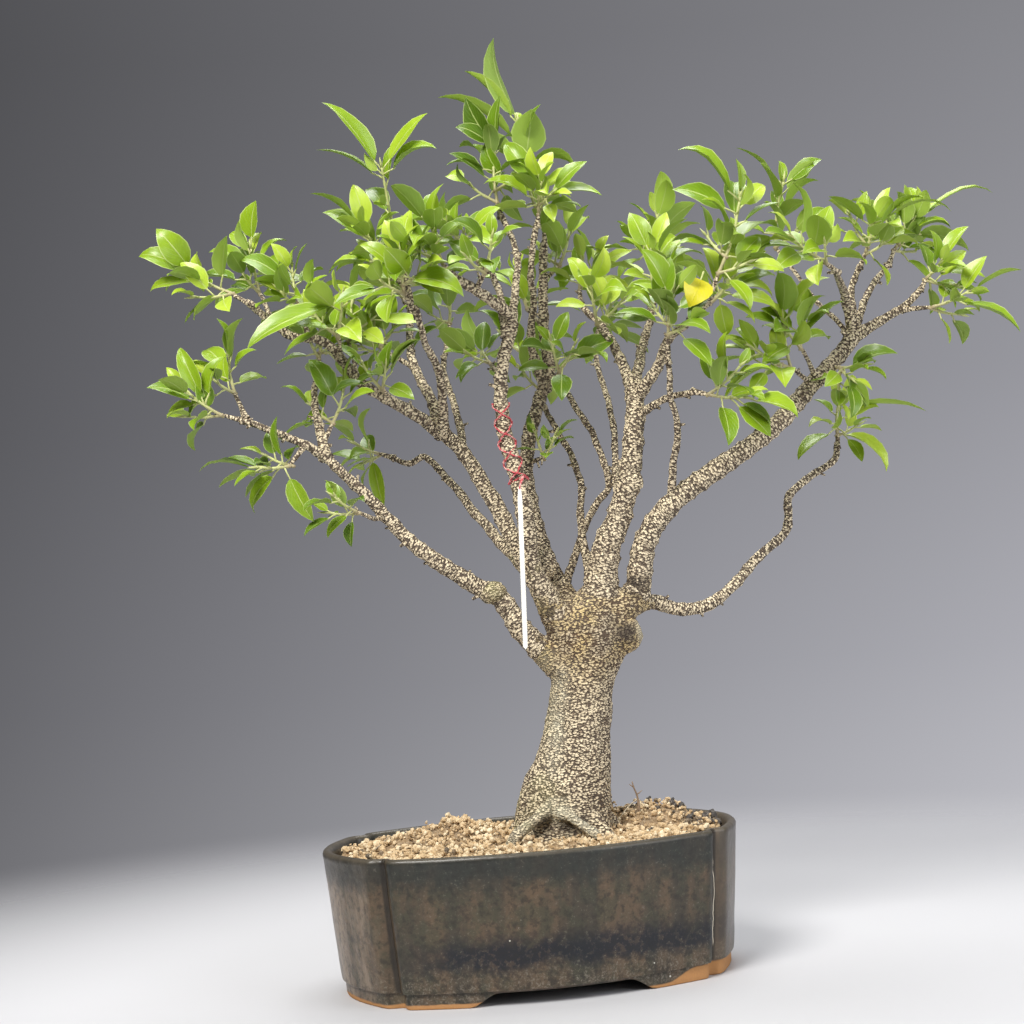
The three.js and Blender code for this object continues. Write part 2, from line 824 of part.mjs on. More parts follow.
// ---- soil ----
// mounds and hollows of the soil: place from the pot's middle, height and spread
const MOUNDS = [
  [-48, 26, 15, 24],
  [-88, 16, 9, 18],
  [84, 28, 14, 22],
  [112, 26, 11, 16],
  [20, 30, 5, 40],
  [-134, -8, -9, 22],
];

function soilHeight(x, y) {
  return MOUNDS.reduce((level, [mx, my, height, spread]) => {
    const away = ((x - mx) ** 2 + (y - my) ** 2) / spread ** 2;
    return level + height * Math.exp(-away);
  }, SOIL_TOP);
}

function soilSolid(roots) {
  const bottom = FOOT_HEIGHT + FLOOR + SCREEN[2] + 2 * GAP;
  const slack = 2;
  const edge = WALL_LEAN * 0.3 + 8.2 + slack;
  const rings = [20, 44, 74];
  const block = lobed([
    [AXIS, bottom],
    [WALL_LEAN + WALL + 6, bottom],
    [WALL_LEAN + WALL + slack, bottom + 6],
    [edge, POT_HEIGHT * 0.7],
    [edge, SOIL_TOP - 3],
    ...rings.map((inset) => [edge + inset, SOIL_TOP]),
    [AXIS, SOIL_TOP],
  ]);
  const mounded = warp(geometryOf(block), (point) => {
    const top = point.z > SOIL_TOP - 1 ? soilHeight(point.x, point.y) : point.z;
    return [point.x, point.y, top];
  });
  return solidOf(mounded).subtract(roots);
}

// ---- red string round the tied leader, and the white strip that hangs from it ----
const STRING_RADIUS = 0.9;
const STRING_TURNS = 2;
const STRING_SLACK = 1.5; // between the string and the bark
const STRING_SPAN = [0.39, 0.585]; // the stretch of the limb that it is wound round
const STRIP_TOP = [-13, -43, 251];
const STRIP_FOOT = [-17, -42, 136];
const STRIP_WIDTH = 4;
const STRIP_THICKNESS = 1;

function stringSolid() {
  const { points, radii } = LIMBS.tied_leader;
  const path = curveThrough(points);
  const [low, high] = STRING_SPAN;
  const turn = 9;
  const spots = [];
  for (let i = 0; i <= STRING_TURNS * turn; i += 1) {
    const t = THREE.MathUtils.lerp(high, low, i / (STRING_TURNS * turn));
    const tangent = path.getTangentAt(t);
    const side = turnedAside(new THREE.Vector3(1, 0, 0), tangent);
    const reach = thickness(radii, t) + STRING_RADIUS + STRING_SLACK;
    side.applyAxisAngle(tangent, (-2 * Math.PI * i) / turn);
    spots.push(path.getPointAt(t).addScaledVector(side, reach));
  }
  const [x, y, z] = STRIP_TOP;
  spots.push(vector([x + 4, y + 6, z + 7]), vector([x, y, z + STRING_RADIUS + GAP + 1.2]));
  const route = new THREE.CatmullRomCurve3(spots);
  return solidOf(bar(route, () => STRING_RADIUS, 5, spots.length + 4));
}

function stripGeometry() {
  const [top, foot] = [vector(STRIP_TOP), vector(STRIP_FOOT)];
  const length = top.distanceTo(foot);
  const half = STRIP_WIDTH / 2;
  const shape = new THREE.Shape();
  shape.moveTo(-half, half);
  shape.absarc(0, half, half, Math.PI, 2 * Math.PI, false);
  shape.lineTo(half, length - 8);
  shape.lineTo(half * 0.6, length);
  shape.lineTo(-half * 0.6, length);
  shape.lineTo(-half, length - 8);
  shape.closePath();
  const depth = STRIP_THICKNESS;
  const strip = new THREE.ExtrudeGeometry(shape, { depth, bevelEnabled: false, curveSegments: 6 });
  strip.rotateX(Math.PI / 2);
  const lean = new THREE.Quaternion().setFromUnitVectors(UP, top.clone().sub(foot).normalize());
  strip.applyQuaternion(lean);
  strip.translate(...foot);
  return strip;
}

// ---- a dried stem standing in the soil ----
function dryStemGeometry() {
  const route = curveThrough([[58, 12, 15], [57, 11, 23], [54, 9, 32]]);
  return bar(route, (t) => THREE.MathUtils.lerp(1, 0.5, t), 5, 3);
}

// ---- materials ----
function coat(color, roughness) {
  return new THREE.MeshStandardMaterial({ color, roughness });
}
const GLAZE = coat(0x3b352c, 0.28);
const SCREEN_PLASTIC = coat(0x1d1f1c, 0.6);
const SOIL = coat(0xc9aa78, 0.95);
const BARK = coat(0x8d7f6c, 0.85);
const LEAF = coat(0x6aa52c, 0.4);
const STRING = coat(0xb5303a, 0.8);
const STRIP = coat(0xf2efe6, 0.5);
const DRY = coat(0x7a5f49, 0.9);

function named(name, geometry, material) {
  const mesh = new THREE.Mesh(geometry, material.clone());
  mesh.name = name;
  return mesh;
}

// ---- assembly ----
const plant = new THREE.Group();
plant.position.set(POT_CENTRE[0], POT_CENTRE[1], 0);
const tree = new THREE.Group();
tree.position.set(...TREE_FOOT);
tree.rotation.z = TREE_TURN;
plant.add(tree);

const toPot = (solid) => solidOf(geometryOf(solid).rotateZ(TREE_TURN).translate(...TREE_FOOT));
const rootHole = trunkSolid(GAP).add(rootsSolid(GAP));
plant.add(named("pot", geometryOf(potSolid()), GLAZE));
plant.add(named("drain_screen_left", geometryOf(screenSolid(-DRAIN_X)), SCREEN_PLASTIC));
plant.add(named("drain_screen_right", geometryOf(screenSolid(DRAIN_X)), SCREEN_PLASTIC));

const twigs = Object.values(SHOOTS).map(({ twig }) => {
  return limb({ points: twig, radii: TWIG, sides: 3, steps: 2 * twig.length - 3 });
});
const wood = joined([
  trunkSolid(0),
  rootsSolid(0),
  ...KNOBS.map(knobSolid),
  ...Object.values(LIMBS).map((one) => limb(one)),
  ...twigs,
]);
const string = stringSolid();
const strip = solidOf(stripGeometry());
const dryStem = solidOf(dryStemGeometry());
tree.add(named("trunk_and_branches", geometryOf(wood), BARK));
tree.add(named("red_string", geometryOf(string), STRING));
tree.add(named("white_strip", geometryOf(strip), STRIP));
tree.add(named("dry_stem", geometryOf(dryStem), DRY));

const placed = [wood, string, strip].map(entry);
Object.entries(SHOOTS).forEach(([name, shoot]) => {
  const solid = shootSolid(shoot, placed);
  placed.push(entry(solid));
  tree.add(named(`shoot_${name}`, geometryOf(solid), LEAF));
});

const dryHole = solidOf(bar(curveThrough([[58, 12, 13], [57, 11, 23], [54, 9, 32]]), () => 1 + GAP, 5, 3));
plant.add(named("soil", geometryOf(soilSolid(toPot(rootHole.add(dryHole)))), SOIL));

export default plant;
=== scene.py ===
# A small-leaved fig grown as a bonsai, in a glazed stoneware pot with four lobes.
import json
import math
import random
import bmesh
import bpy
from mathutils import Matrix, Vector, noise

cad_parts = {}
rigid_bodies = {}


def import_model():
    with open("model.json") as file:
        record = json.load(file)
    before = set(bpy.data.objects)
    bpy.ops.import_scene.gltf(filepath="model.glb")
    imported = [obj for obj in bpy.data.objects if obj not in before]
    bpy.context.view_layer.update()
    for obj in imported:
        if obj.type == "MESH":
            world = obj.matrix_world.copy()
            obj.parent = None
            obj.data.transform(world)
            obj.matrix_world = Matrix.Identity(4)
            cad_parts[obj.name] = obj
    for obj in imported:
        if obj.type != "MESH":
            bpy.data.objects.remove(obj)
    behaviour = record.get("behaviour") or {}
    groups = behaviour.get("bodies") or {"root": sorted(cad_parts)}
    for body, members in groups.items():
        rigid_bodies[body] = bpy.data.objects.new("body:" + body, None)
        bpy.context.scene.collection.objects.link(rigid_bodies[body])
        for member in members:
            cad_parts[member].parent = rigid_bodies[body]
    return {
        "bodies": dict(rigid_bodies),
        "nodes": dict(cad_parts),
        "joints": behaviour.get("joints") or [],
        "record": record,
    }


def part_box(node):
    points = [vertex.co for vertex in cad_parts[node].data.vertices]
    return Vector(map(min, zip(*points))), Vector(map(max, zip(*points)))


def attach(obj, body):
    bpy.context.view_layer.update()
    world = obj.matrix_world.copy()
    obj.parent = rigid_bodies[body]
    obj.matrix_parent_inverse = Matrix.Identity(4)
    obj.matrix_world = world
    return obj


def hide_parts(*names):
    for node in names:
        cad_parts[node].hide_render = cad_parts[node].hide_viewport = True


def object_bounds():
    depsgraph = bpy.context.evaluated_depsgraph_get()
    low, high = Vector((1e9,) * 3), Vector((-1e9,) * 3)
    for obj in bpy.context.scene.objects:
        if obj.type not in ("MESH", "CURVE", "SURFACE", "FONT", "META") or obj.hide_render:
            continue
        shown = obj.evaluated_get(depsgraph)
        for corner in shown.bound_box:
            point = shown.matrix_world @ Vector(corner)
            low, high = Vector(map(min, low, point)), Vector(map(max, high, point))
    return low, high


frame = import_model()
cad_low, cad_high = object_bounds()

# ---- driving dimensions, in millimetres unless they say otherwise ----
MM = 0.001
POT_CENTRE = Vector((-69, -21, 0))
POT_LENGTH = 300
POT_WIDTH = 228
POT_HEIGHT = 102
GROOVE = (122, 83)
GROOVE_DEPTH = 8
GROOVE_SPREAD = 6
FOOT_HEIGHT = 10.5
FOOT_INSET = 11
FOOT_BAND = 15
ARCH = 129
ARCH_SLOPE = 20
WALL_LEAN = 8
WALL = 8
FLOOR = 9
DRAIN_RADIUS = 10
DRAIN_X = 62
SOIL_TOP = 97
TREE_FOOT = POT_CENTRE + Vector((24, 4, 98))
TREE_TURN = math.radians(-9.5)
LIMB_TAPER = 0.6
MERGE = 0.0005
SEEDS = {"crumbs": 11, "litter": 23, "wood": 5}
GOLDEN_ANGLE = math.pi * (3 - math.sqrt(5))
TREE = Matrix.Translation(TREE_FOOT) @ Matrix.Rotation(TREE_TURN, 4, "Z")

# The tree's places are from the foot of the trunk, X to its right and Y to its back.
# TRUNK: centre and radius, from under the soil to the crown of the fork.
TRUNK = [
    (-2, 2, -26, 37), (0, 0, -8, 37), (4, 0, 20, 34), (12, 0, 50, 27.5), (18, 0, 78, 24),
    (22, 0, 101, 23), (25, 0, 119, 25), (29, 0, 137, 29), (32, 0, 154, 27), (34, 0, 168, 17),
]

# Limbs and roots: radius at the foot, radius at the end, and the places along it.
LIMBS = {
    "low_left": (10.5, 2, [(14, -2, 116), (-13, -12, 143), (-34, -18, 175), (-50, -20, 184),
        (-89, -30, 214), (-112, -36, 240), (-148, -50, 281), (-182, -65, 301), (-204, -70, 310)]),
    "low_left_upright": (4, 2, [(-148, -50, 281), (-156, -24, 325), (-153, -4, 352)]),
    "second_left": (6.2, 1.9, [(4, 0, 172), (-30, 20, 216), (-49, 32, 241), (-69, 46, 270),
        (-82, 55, 285), (-95, 58, 281), (-110, 64, 289)]),
    "third_left": (9.2, 2.4, [(14, 0, 148), (-10, -4, 196), (-32, 2, 244), (-53, 4, 283),
        (-73, 0, 302), (-101, -14, 322), (-123, -22, 337), (-145, -32, 366), (-170, -40, 372),
        (-197, -50, 397)]),
    "third_left_upright": (4.8, 2.2, [(-66, 2, 296), (-75, 22, 329), (-85, 42, 353), (-88, 60, 379),
        (-86, 68, 408), (-91, 50, 434)]),
    "third_left_front": (4.4, 2, [(-66, 2, 296), (-64, -26, 333), (-73, -52, 359),
        (-77, -68, 382)]),
    "third_left_back": (3.6, 1.9, [(-52, 4, 281), (-56, 46, 315), (-64, 84, 352), (-60, 110, 386)]),
    "tied_leader": (9.2, 3.2, [(12, -4, 150), (-7, -22, 188), (-12, -24, 250), (-19, -28, 281),
        (-22, -32, 315), (-17, -36, 345), (-10, -38, 371), (-28, -54, 387), (-52, -70, 402)]),
    "tied_leader_middle": (3.6, 1.9, [(-14, -38, 360), (-20, -26, 404), (-31, -18, 419)]),
    "tied_leader_right": (3.4, 1.9, [(-10, -38, 368), (-6, -30, 392), (-3, -20, 422),
        (-12, -4, 456)]),
    "tall_leader": (9, 3, [(20, 8, 156), (3, 22, 199), (-6, 28, 245), (-5, 32, 282), (7, 38, 320),
        (17, 42, 342), (15, 46, 370), (16, 50, 406), (20, 46, 442)]),
    "tall_leader_twin": (3.8, 2.1, [(12, 40, 326), (4, 24, 363), (7, 16, 389), (8, 8, 420),
        (14, 2, 448)]),
    "slim_right": (3.6, 2, [(35, 10, 180), (31, 24, 222), (33, 32, 260), (22, 40, 291),
        (8, 62, 322)]),
    "slim_crossing": (3.2, 2, [(14, 16, 174), (29, 26, 212), (43, 20, 238), (53, 15, 250),
        (50, 14, 273), (38, 20, 303), (22, 34, 332), (4, 70, 354)]),
    "centre_right": (13.5, 6.4, [(37, 0, 150), (46, -8, 201), (61, -14, 234), (71, -18, 274),
        (75, -18, 321)]),
    "centre_right_back": (4.8, 2.1, [(75, -18, 316), (66, -4, 346), (57, 18, 370), (42, 46, 394)]),
    "centre_right_far": (5, 2.1, [(75, -18, 316), (86, 16, 352), (96, 46, 378), (100, 80, 400)]),
    "centre_right_front": (5, 2.1, [(75, -18, 310), (91, -34, 329), (100, -50, 348),
        (117, -70, 359), (130, -82, 374)]),
    "centre_right_side": (3.4, 1.9, [(76, -18, 298), (94, -44, 306), (115, -68, 308)]),
    "slim_upright": (3.2, 1.9, [(58, -2, 224), (59, 16, 261), (61, 28, 293), (58, 52, 324),
        (52, 88, 368)]),
    "right": (10, 5.4, [(44, 0, 158), (66, -3, 170), (75, -10, 206), (94, -14, 231),
        (123, -18, 251), (152, -20, 268), (180, -16, 288), (207, -6, 314), (235, 4, 340),
        (243, 8, 356)]),
    "right_left_fork": (4.4, 2, [(242, 8, 350), (234, -8, 378), (222, -50, 388)]),
    "right_middle_fork": (4.2, 2, [(243, 8, 351), (246, 26, 384), (254, 24, 404)]),
    "right_end": (4.8, 2.2, [(241, 8, 348), (259, 2, 356), (280, -6, 367), (291, -12, 378)]),
    "right_far_fork": (3.4, 2, [(243, 8, 354), (261, 32, 385), (282, 46, 408)]),
    "slim_front": (3.2, 1.9, [(96, -14, 232), (98, -30, 260), (102, -44, 282), (98, -60, 304),
        (96, -78, 334)]),
    "low_right": (6.4, 2.3, [(46, 0, 154), (76, 6, 163), (98, 12, 156), (121, 18, 158),
        (142, 24, 172), (162, 30, 191), (183, 34, 207), (187, 36, 222), (189, 36, 235),
        (206, 40, 248), (225, 42, 259), (229, 42, 272)]),
}

# Knobs on the crown: middle and half sizes.
KNOBS = [
    ((55, -4, 140), (15, 15, 14)), ((-37, -18, 178), (11, 11, 9)), ((1, 2, 196), (10, 10, 12)),
    ((70, -21, 250), (8, 6, 8)),
]

ROOTS = [
    (6.6, 4.4, [(4, -26, 38), (-2, -31, 28), (-16, -35, 17), (-34, -39, 4), (-46, -42, -16)]),
    (5.2, 4.2, [(-6, -30, 19), (2, -36, 17), (10, -41, 13), (18, -44, 7), (27, -45, -2),
        (33, -43, -18)]),
    (8, 5, [(20, -22, 14), (32, -32, 0), (42, -40, -18)]),
    (9, 5, [(24, 6, 16), (40, 12, 0), (54, 18, -18)]),
    (9, 5, [(-16, 10, 18), (-34, 18, 2), (-52, 24, -18)]),
    (9, 5, [(6, 22, 18), (8, 38, 2), (12, 54, -18)]),
]

# Shoots: places along the twig, the shoot's tip, how many leaves grow by rule and how long, and its
# own large leaves, each with the place of its stalk, its tip, its width, and 1 if it is yellow.
SHOOTS = {
    "low_left_end": ([(-196, -69, 308), (-216, -73, 314)], (-240, -80, 334), 3, 38, [
        ((-230, -76, 326), (-264, -85, 338), 15), ((-228, -72, 324), (-242, -72, 366), 15)]),
    "low_left_top": ([(-200, -70, 311), (-208, -58, 330)], (-211, -56, 360), 4, 38, [
        ((-210, -58, 348), (-199, -62, 384), 26)]),
    "low_left_hanging": ([(-162, -57, 290), (-172, -68, 276)], (-193, -74, 276), 3, 40, [
        ((-190, -73, 277), (-236, -76, 277), 13), ((-186, -72, 275), (-222, -64, 264), 16),
        ((-178, -70, 274), (-159, -64, 236), 16)]),
    "low_left_spur": ([(-110, -35, 237), (-118, -50, 236), (-128, -64, 241)],
        (-142, -76, 252), 3, 30, []),
    "second_left_end": ([(-106, 62, 286), (-118, 66, 291)], (-136, 68, 300), 3, 36, [
        ((-127, 66, 292), (-114, 62, 246), 13)]),
    "third_left_end": ([(-190, -47, 390), (-207, -40, 404)], (-238, -36, 424), 4, 40, [
        ((-234, -36, 420), (-274, -36, 440), 17), ((-232, -30, 418), (-270, -26, 410), 13)]),
    "third_left_top": ([(-180, -43, 382), (-192, -10, 408)], (-198, 4, 444), 5, 42, [
        ((-198, 4, 444), (-190, 2, 479), 28)]),
    "third_left_middle": ([(-156, -35, 367), (-160, -28, 390)], (-166, -22, 424), 6, 40, []),
    "third_left_near": ([(-134, -27, 351), (-134, -50, 366)], (-127, -70, 392), 3, 40, [
        ((-128, -70, 390), (-194, -84, 356), 22)]),
    "third_left_far": ([(-124, -22, 338), (-132, 24, 372)], (-129, 42, 408), 6, 42, []),
    "upright_end": ([(-154, -8, 348), (-153, 0, 358)], (-150, 14, 384), 5, 38, []),
    "upright_low": ([(-150, -44, 292), (-143, -38, 306)], (-134, -26, 332), 5, 40, []),
    "top_left": ([(-90, 55, 428), (-91, 48, 444)], (-98, 14, 500), 2, 36, [
        ((-99, 14, 500), (-139, 8, 551), 20), ((-98, 18, 492), (-145, 12, 516), 22),
        ((-97, 12, 502), (-62, 8, 538), 20), ((-96, 16, 496), (-56, 4, 510), 20)]),
    "top_left_cluster": ([(-88, 64, 416), (-100, 46, 428)], (-115, 26, 460), 6, 42, [
        ((-116, 24, 462), (-154, 20, 485), 14)]),
    "left_back": ([(-86, 66, 398), (-92, 88, 412)], (-90, 108, 446), 6, 42, []),
    "left_front": ([(-76, -62, 374), (-84, -74, 392)], (-84, -84, 416), 5, 42, [
        ((-82, -78, 404), (-40, -92, 384), 22)]),
    "left_low_front": ([(-102, -14, 322), (-106, -28, 330)], (-102, -44, 344), 3, 36, [
        ((-104, -34, 334), (-74, -50, 362), 15)]),
    "left_middle": ([(-86, 42, 353), (-108, 40, 366)], (-114, 44, 388), 5, 38, []),
    "back_left": ([(-60, 108, 382), (-58, 114, 394)], (-56, 126, 424), 7, 42, []),
    "tied_leader_end": ([(-46, -66, 398), (-56, -74, 410)], (-62, -84, 440), 6, 42, [
        ((-56, -74, 424), (-52, -96, 462), 13)]),
    "tied_leader_side": ([(-34, -58, 391), (-26, -74, 402)], (-20, -88, 422), 4, 38, []),
    "tied_middle_end": ([(-27, -20, 413), (-40, -14, 432)], (-54, -34, 448), 5, 40, [
        ((-54, -36, 448), (-96, -52, 412), 18)]),
    "second_leader_end": ([(-12, -5, 452), (-14, 0, 464)], (-11, 4, 514), 4, 40, [
        ((-12, 2, 508), (-42, -4, 520), 16), ((-11, 2, 506), (-7, -2, 544), 15),
        ((-13, 0, 488), (-50, -14, 492), 15)]),
    "leader_end": ([(20, 46, 438), (20, 44, 450)], (7, 38, 532), 3, 40, [
        ((6, 38, 532), (-9, 34, 598), 26), ((8, 38, 528), (-30, 30, 575), 15),
        ((9, 40, 518), (-54, 30, 554), 18), ((14, 38, 500), (20, 26, 538), 28),
        ((13, 42, 508), (48, 36, 494), 20)]),
    "leader_twin_end": ([(14, 3, 444), (16, 0, 456)], (20, -6, 478), 5, 42, [
        ((20, -2, 466), (64, -6, 464), 20), ((12, -6, 460), (-32, -18, 448), 19)]),
    "leader_right": ([(17, 48, 412), (30, 58, 424)], (40, 62, 452), 5, 42, []),
    "leader_back": ([(15, 46, 376), (4, 80, 396)], (-2, 98, 430), 7, 42, []),
    "tied_leader_low": ([(-20, -34, 330), (-28, 30, 350)], (-36, 58, 372), 5, 40, []),
    "leader_low_front": ([(8, 38, 322), (22, 0, 336)], (34, -24, 352), 3, 38, []),
    "leader_small": ([(-6, 32, 272), (8, 14, 276)], (16, 4, 290), 2, 24, [
        ((15, 4, 288), (34, 0, 300), 14)]),
    "slim_right_end": ([(10, 58, 317), (8, 72, 332)], (16, 90, 356), 5, 40, []),
    "slim_crossing_end": ([(6, 66, 352), (0, 92, 362)], (-18, 116, 384), 5, 42, []),
    "centre_back_end": ([(44, 42, 391), (44, 52, 404)], (62, 72, 434), 7, 42, []),
    "centre_back_low": ([(66, -4, 346), (52, -20, 366)], (48, -40, 394), 5, 42, []),
    "centre_far_end": ([(99, 74, 396), (106, 78, 416)], (110, 76, 462), 6, 42, [
        ((111, 76, 462), (112, 70, 495), 20)]),
    "centre_far_low": ([(88, 22, 355), (98, 10, 386)], (98, 6, 424), 7, 42, []),
    "slim_upright_end": ([(53, 84, 364), (60, 104, 382)], (74, 118, 408), 7, 42, []),
    "front_right_end": ([(128, -80, 371), (134, -86, 386)], (153, -88, 438), 5, 44, [
        ((152, -88, 438), (111, -96, 474), 22), ((148, -88, 428), (107, -92, 448), 22)]),
    "front_right_side": ([(114, -68, 358), (132, -54, 372)], (152, -46, 398), 6, 42, []),
    "front_right_low": ([(112, -66, 308), (124, -74, 304)], (146, -80, 300), 3, 38, [
        ((138, -78, 302), (160, -82, 270), 20), ((146, -80, 301), (183, -84, 284), 22)]),
    "front_slim_end": ([(96, -74, 328), (97, -84, 346)], (102, -92, 376), 6, 42, [
        ((124, -88, 388), (112, -96, 362), 22, 1)]),
    "right_top": ([(240, 6, 347), (214, 22, 384), (192, 24, 420)], (200, 14, 468), 3, 42, [
        ((199, 14, 466), (165, 6, 494), 9), ((200, 14, 466), (230, 8, 480), 16),
        ((194, 18, 446), (226, 6, 466), 17)]),
    "right_left_end": ([(224, -46, 387), (212, -62, 394)], (190, -70, 410), 6, 42, []),
    "right_middle_end": ([(253, 24, 400), (258, 20, 412)], (264, 12, 434), 5, 44, [
        ((266, 12, 430), (321, 0, 438), 22), ((262, 14, 428), (230, 4, 452), 22)]),
    "right_far_end": ([(279, 44, 404), (286, 48, 418)], (302, 48, 440), 5, 42, [
        ((302, 48, 440), (364, 40, 456), 15), ((296, 44, 430), (340, 34, 412), 20)]),
    "right_end_tuft": ([(289, -11, 375), (294, -14, 384)], (302, -20, 392), 4, 36, []),
    "right_tip": ([(276, -5, 363), (296, -18, 362)], (320, -28, 370), 2, 34, [
        ((316, -27, 371), (359, -34, 382), 11), ((310, -24, 366), (354, -34, 338), 20)]),
    "right_inner": ([(210, -5, 316), (198, -20, 338)], (182, -30, 362), 4, 40, [
        ((184, -30, 356), (218, -40, 387), 19), ((194, -24, 346), (231, -32, 368), 13)]),
    "right_inner_low": ([(206, -6, 313), (190, -22, 324)], (158, -34, 342), 5, 42, []),
    "right_outer": ([(222, -2, 328), (226, -14, 322)], (232, -20, 314), 2, 34, [
        ((229, -16, 324), (266, -26, 330), 19)]),
    "low_right_end": ([(229, 42, 268), (230, 42, 280)], (233, 38, 306), 3, 34, [
        ((233, 40, 298), (296, 30, 293), 10), ((230, 38, 274), (264, 26, 248), 19),
        ((228, 38, 274), (196, 28, 260), 16)]),
}

# Heaps of soil, from the pot's middle: X, Y, height and spread.
MOUNDS = [
    (-48, 26, 15, 24), (-88, 16, 9, 18), (84, 28, 14, 22), (112, 26, 11, 16), (20, 30, 5, 40),
    (-134, -8, -9, 22),
]

# ---- stage: camera, lights, floor ----
VIEW_DISTANCE = 1400
VIEW_HEIGHT = 270
VIEW_AIM = (3.5, 333.5)
VIEW_ROLL = math.radians(-4.1)
VIEW_LENS = 67.7
VIEW_CLIP = 50
LIGHTS_AIM = Vector((0, 0, 0.3))
LIGHTS = [
    ("key", (-0.9, -1.6, 1.9), 1.1, 80, (1.0, 0.98, 0.95)),
    ("fill", (1.5, -1.3, 1.0), 1.5, 22, (0.95, 0.97, 1.0)),
    ("top", (0.1, 0.6, 2.2), 1.4, 36, (1.0, 1.0, 1.0)),
]
ROOM_SLANT = 1.9
ROOM_STOPS = (
    (0.30, (0.40, 0.40, 0.425)),
    (0.46, (0.275, 0.275, 0.30)),
    (0.60, (0.205, 0.205, 0.225)),
    (0.78, (0.155, 0.155, 0.168)),
)
FLOOR_REACH = 3500
FLOOR_FADE = (0.35, 1.1)
UP = Vector((0, 0, 1))
SIDEWAYS = Vector((math.cos(TREE_TURN), math.sin(TREE_TURN), 0))
TOWARDS = Vector((math.sin(TREE_TURN), -math.cos(TREE_TURN), 0))


def make_camera():
    """Looks along the tree's own front, a little from the left of the pot's."""
    eye = POT_CENTRE + TOWARDS * VIEW_DISTANCE + UP * VIEW_HEIGHT
    aim = POT_CENTRE + SIDEWAYS * VIEW_AIM[0] + UP * VIEW_AIM[1]
    forward = (aim - eye).normalized()
    right = forward.cross(UP).normalized()
    upward = right.cross(forward)
    level = math.cos(VIEW_ROLL) * right + math.sin(VIEW_ROLL) * upward
    above = math.cos(VIEW_ROLL) * upward - math.sin(VIEW_ROLL) * right
    data = bpy.data.cameras.new("camera")
    data.lens = VIEW_LENS
    data.clip_end = VIEW_CLIP
    camera = bpy.data.objects.new("camera", data)
    bpy.context.scene.collection.objects.link(camera)
    turn = Matrix((level, above, -forward)).transposed().to_4x4()
    camera.matrix_world = Matrix.Translation(eye * MM) @ turn
    bpy.context.scene.camera = camera


def make_light(name, place, size, watts, colour):
    """A round soft light at a place in the tree's own directions, in metres, aimed at the crown."""
    x, y, z = place
    data = bpy.data.lights.new(name, "AREA")
    data.shape = "DISK"
    data.size = size
    data.energy = watts
    data.color = colour
    lamp = bpy.data.objects.new(name, data)
    lamp.location = SIDEWAYS * x - TOWARDS * y + UP * z
    lamp.rotation_mode = "QUATERNION"
    lamp.rotation_quaternion = (LIGHTS_AIM - lamp.location).to_track_quat("-Z", "Y")
    bpy.context.scene.collection.objects.link(lamp)


def make_room():
    """Plain grey all round, paler towards the floor and towards the right."""
    world = bpy.data.worlds.new("room")
    room = Look(world, "Background")
    ray = room.node("TexCoord", output="Generated")
    rise, slant = [
        room.node("VectorMath", {"operation": "DOT_PRODUCT"}, {0: ray, 1: axis}, "Value")
        for axis in (UP, SIDEWAYS)
    ]
    strength = {"Value": slant * ROOM_SLANT + 1, "Min": 0.5, "Max": 1.5}
    room.set(Color=room.ramp(rise + 0.5, *ROOM_STOPS), Strength=room.node("Clamp", {}, strength))
    bpy.context.scene.world = world


# ---- materials ----
class Wire:
    """A value that runs through a material; arithmetic on it adds Math nodes."""

    def __init__(self, look, socket):
        self.look = look
        self.socket = socket

    def maths(self, operation, *values):
        return self.look.node("Math", {"operation": operation}, dict(enumerate(values)))

    def __add__(self, other):
        return self.maths("ADD", self, other)

    def __sub__(self, other):
        return self.maths("SUBTRACT", self, other)

    def __rsub__(self, other):
        return self.maths("SUBTRACT", other, self)

    def __mul__(self, other):
        return self.maths("MULTIPLY", self, other)

    __radd__ = __add__
    __rmul__ = __mul__

    def size(self):
        return self.maths("ABSOLUTE", self)

    def fraction(self):
        return self.maths("FRACT", self)

    def above(self, low, high):
        """0 below low, 1 above high, and smooth between."""
        inputs = {"Value": self, "From Min": low, "From Max": high}
        return self.look.node("MapRange", {"interpolation_type": "SMOOTHSTEP"}, inputs)

    def below(self, low, high):
        return 1 - self.above(low, high)


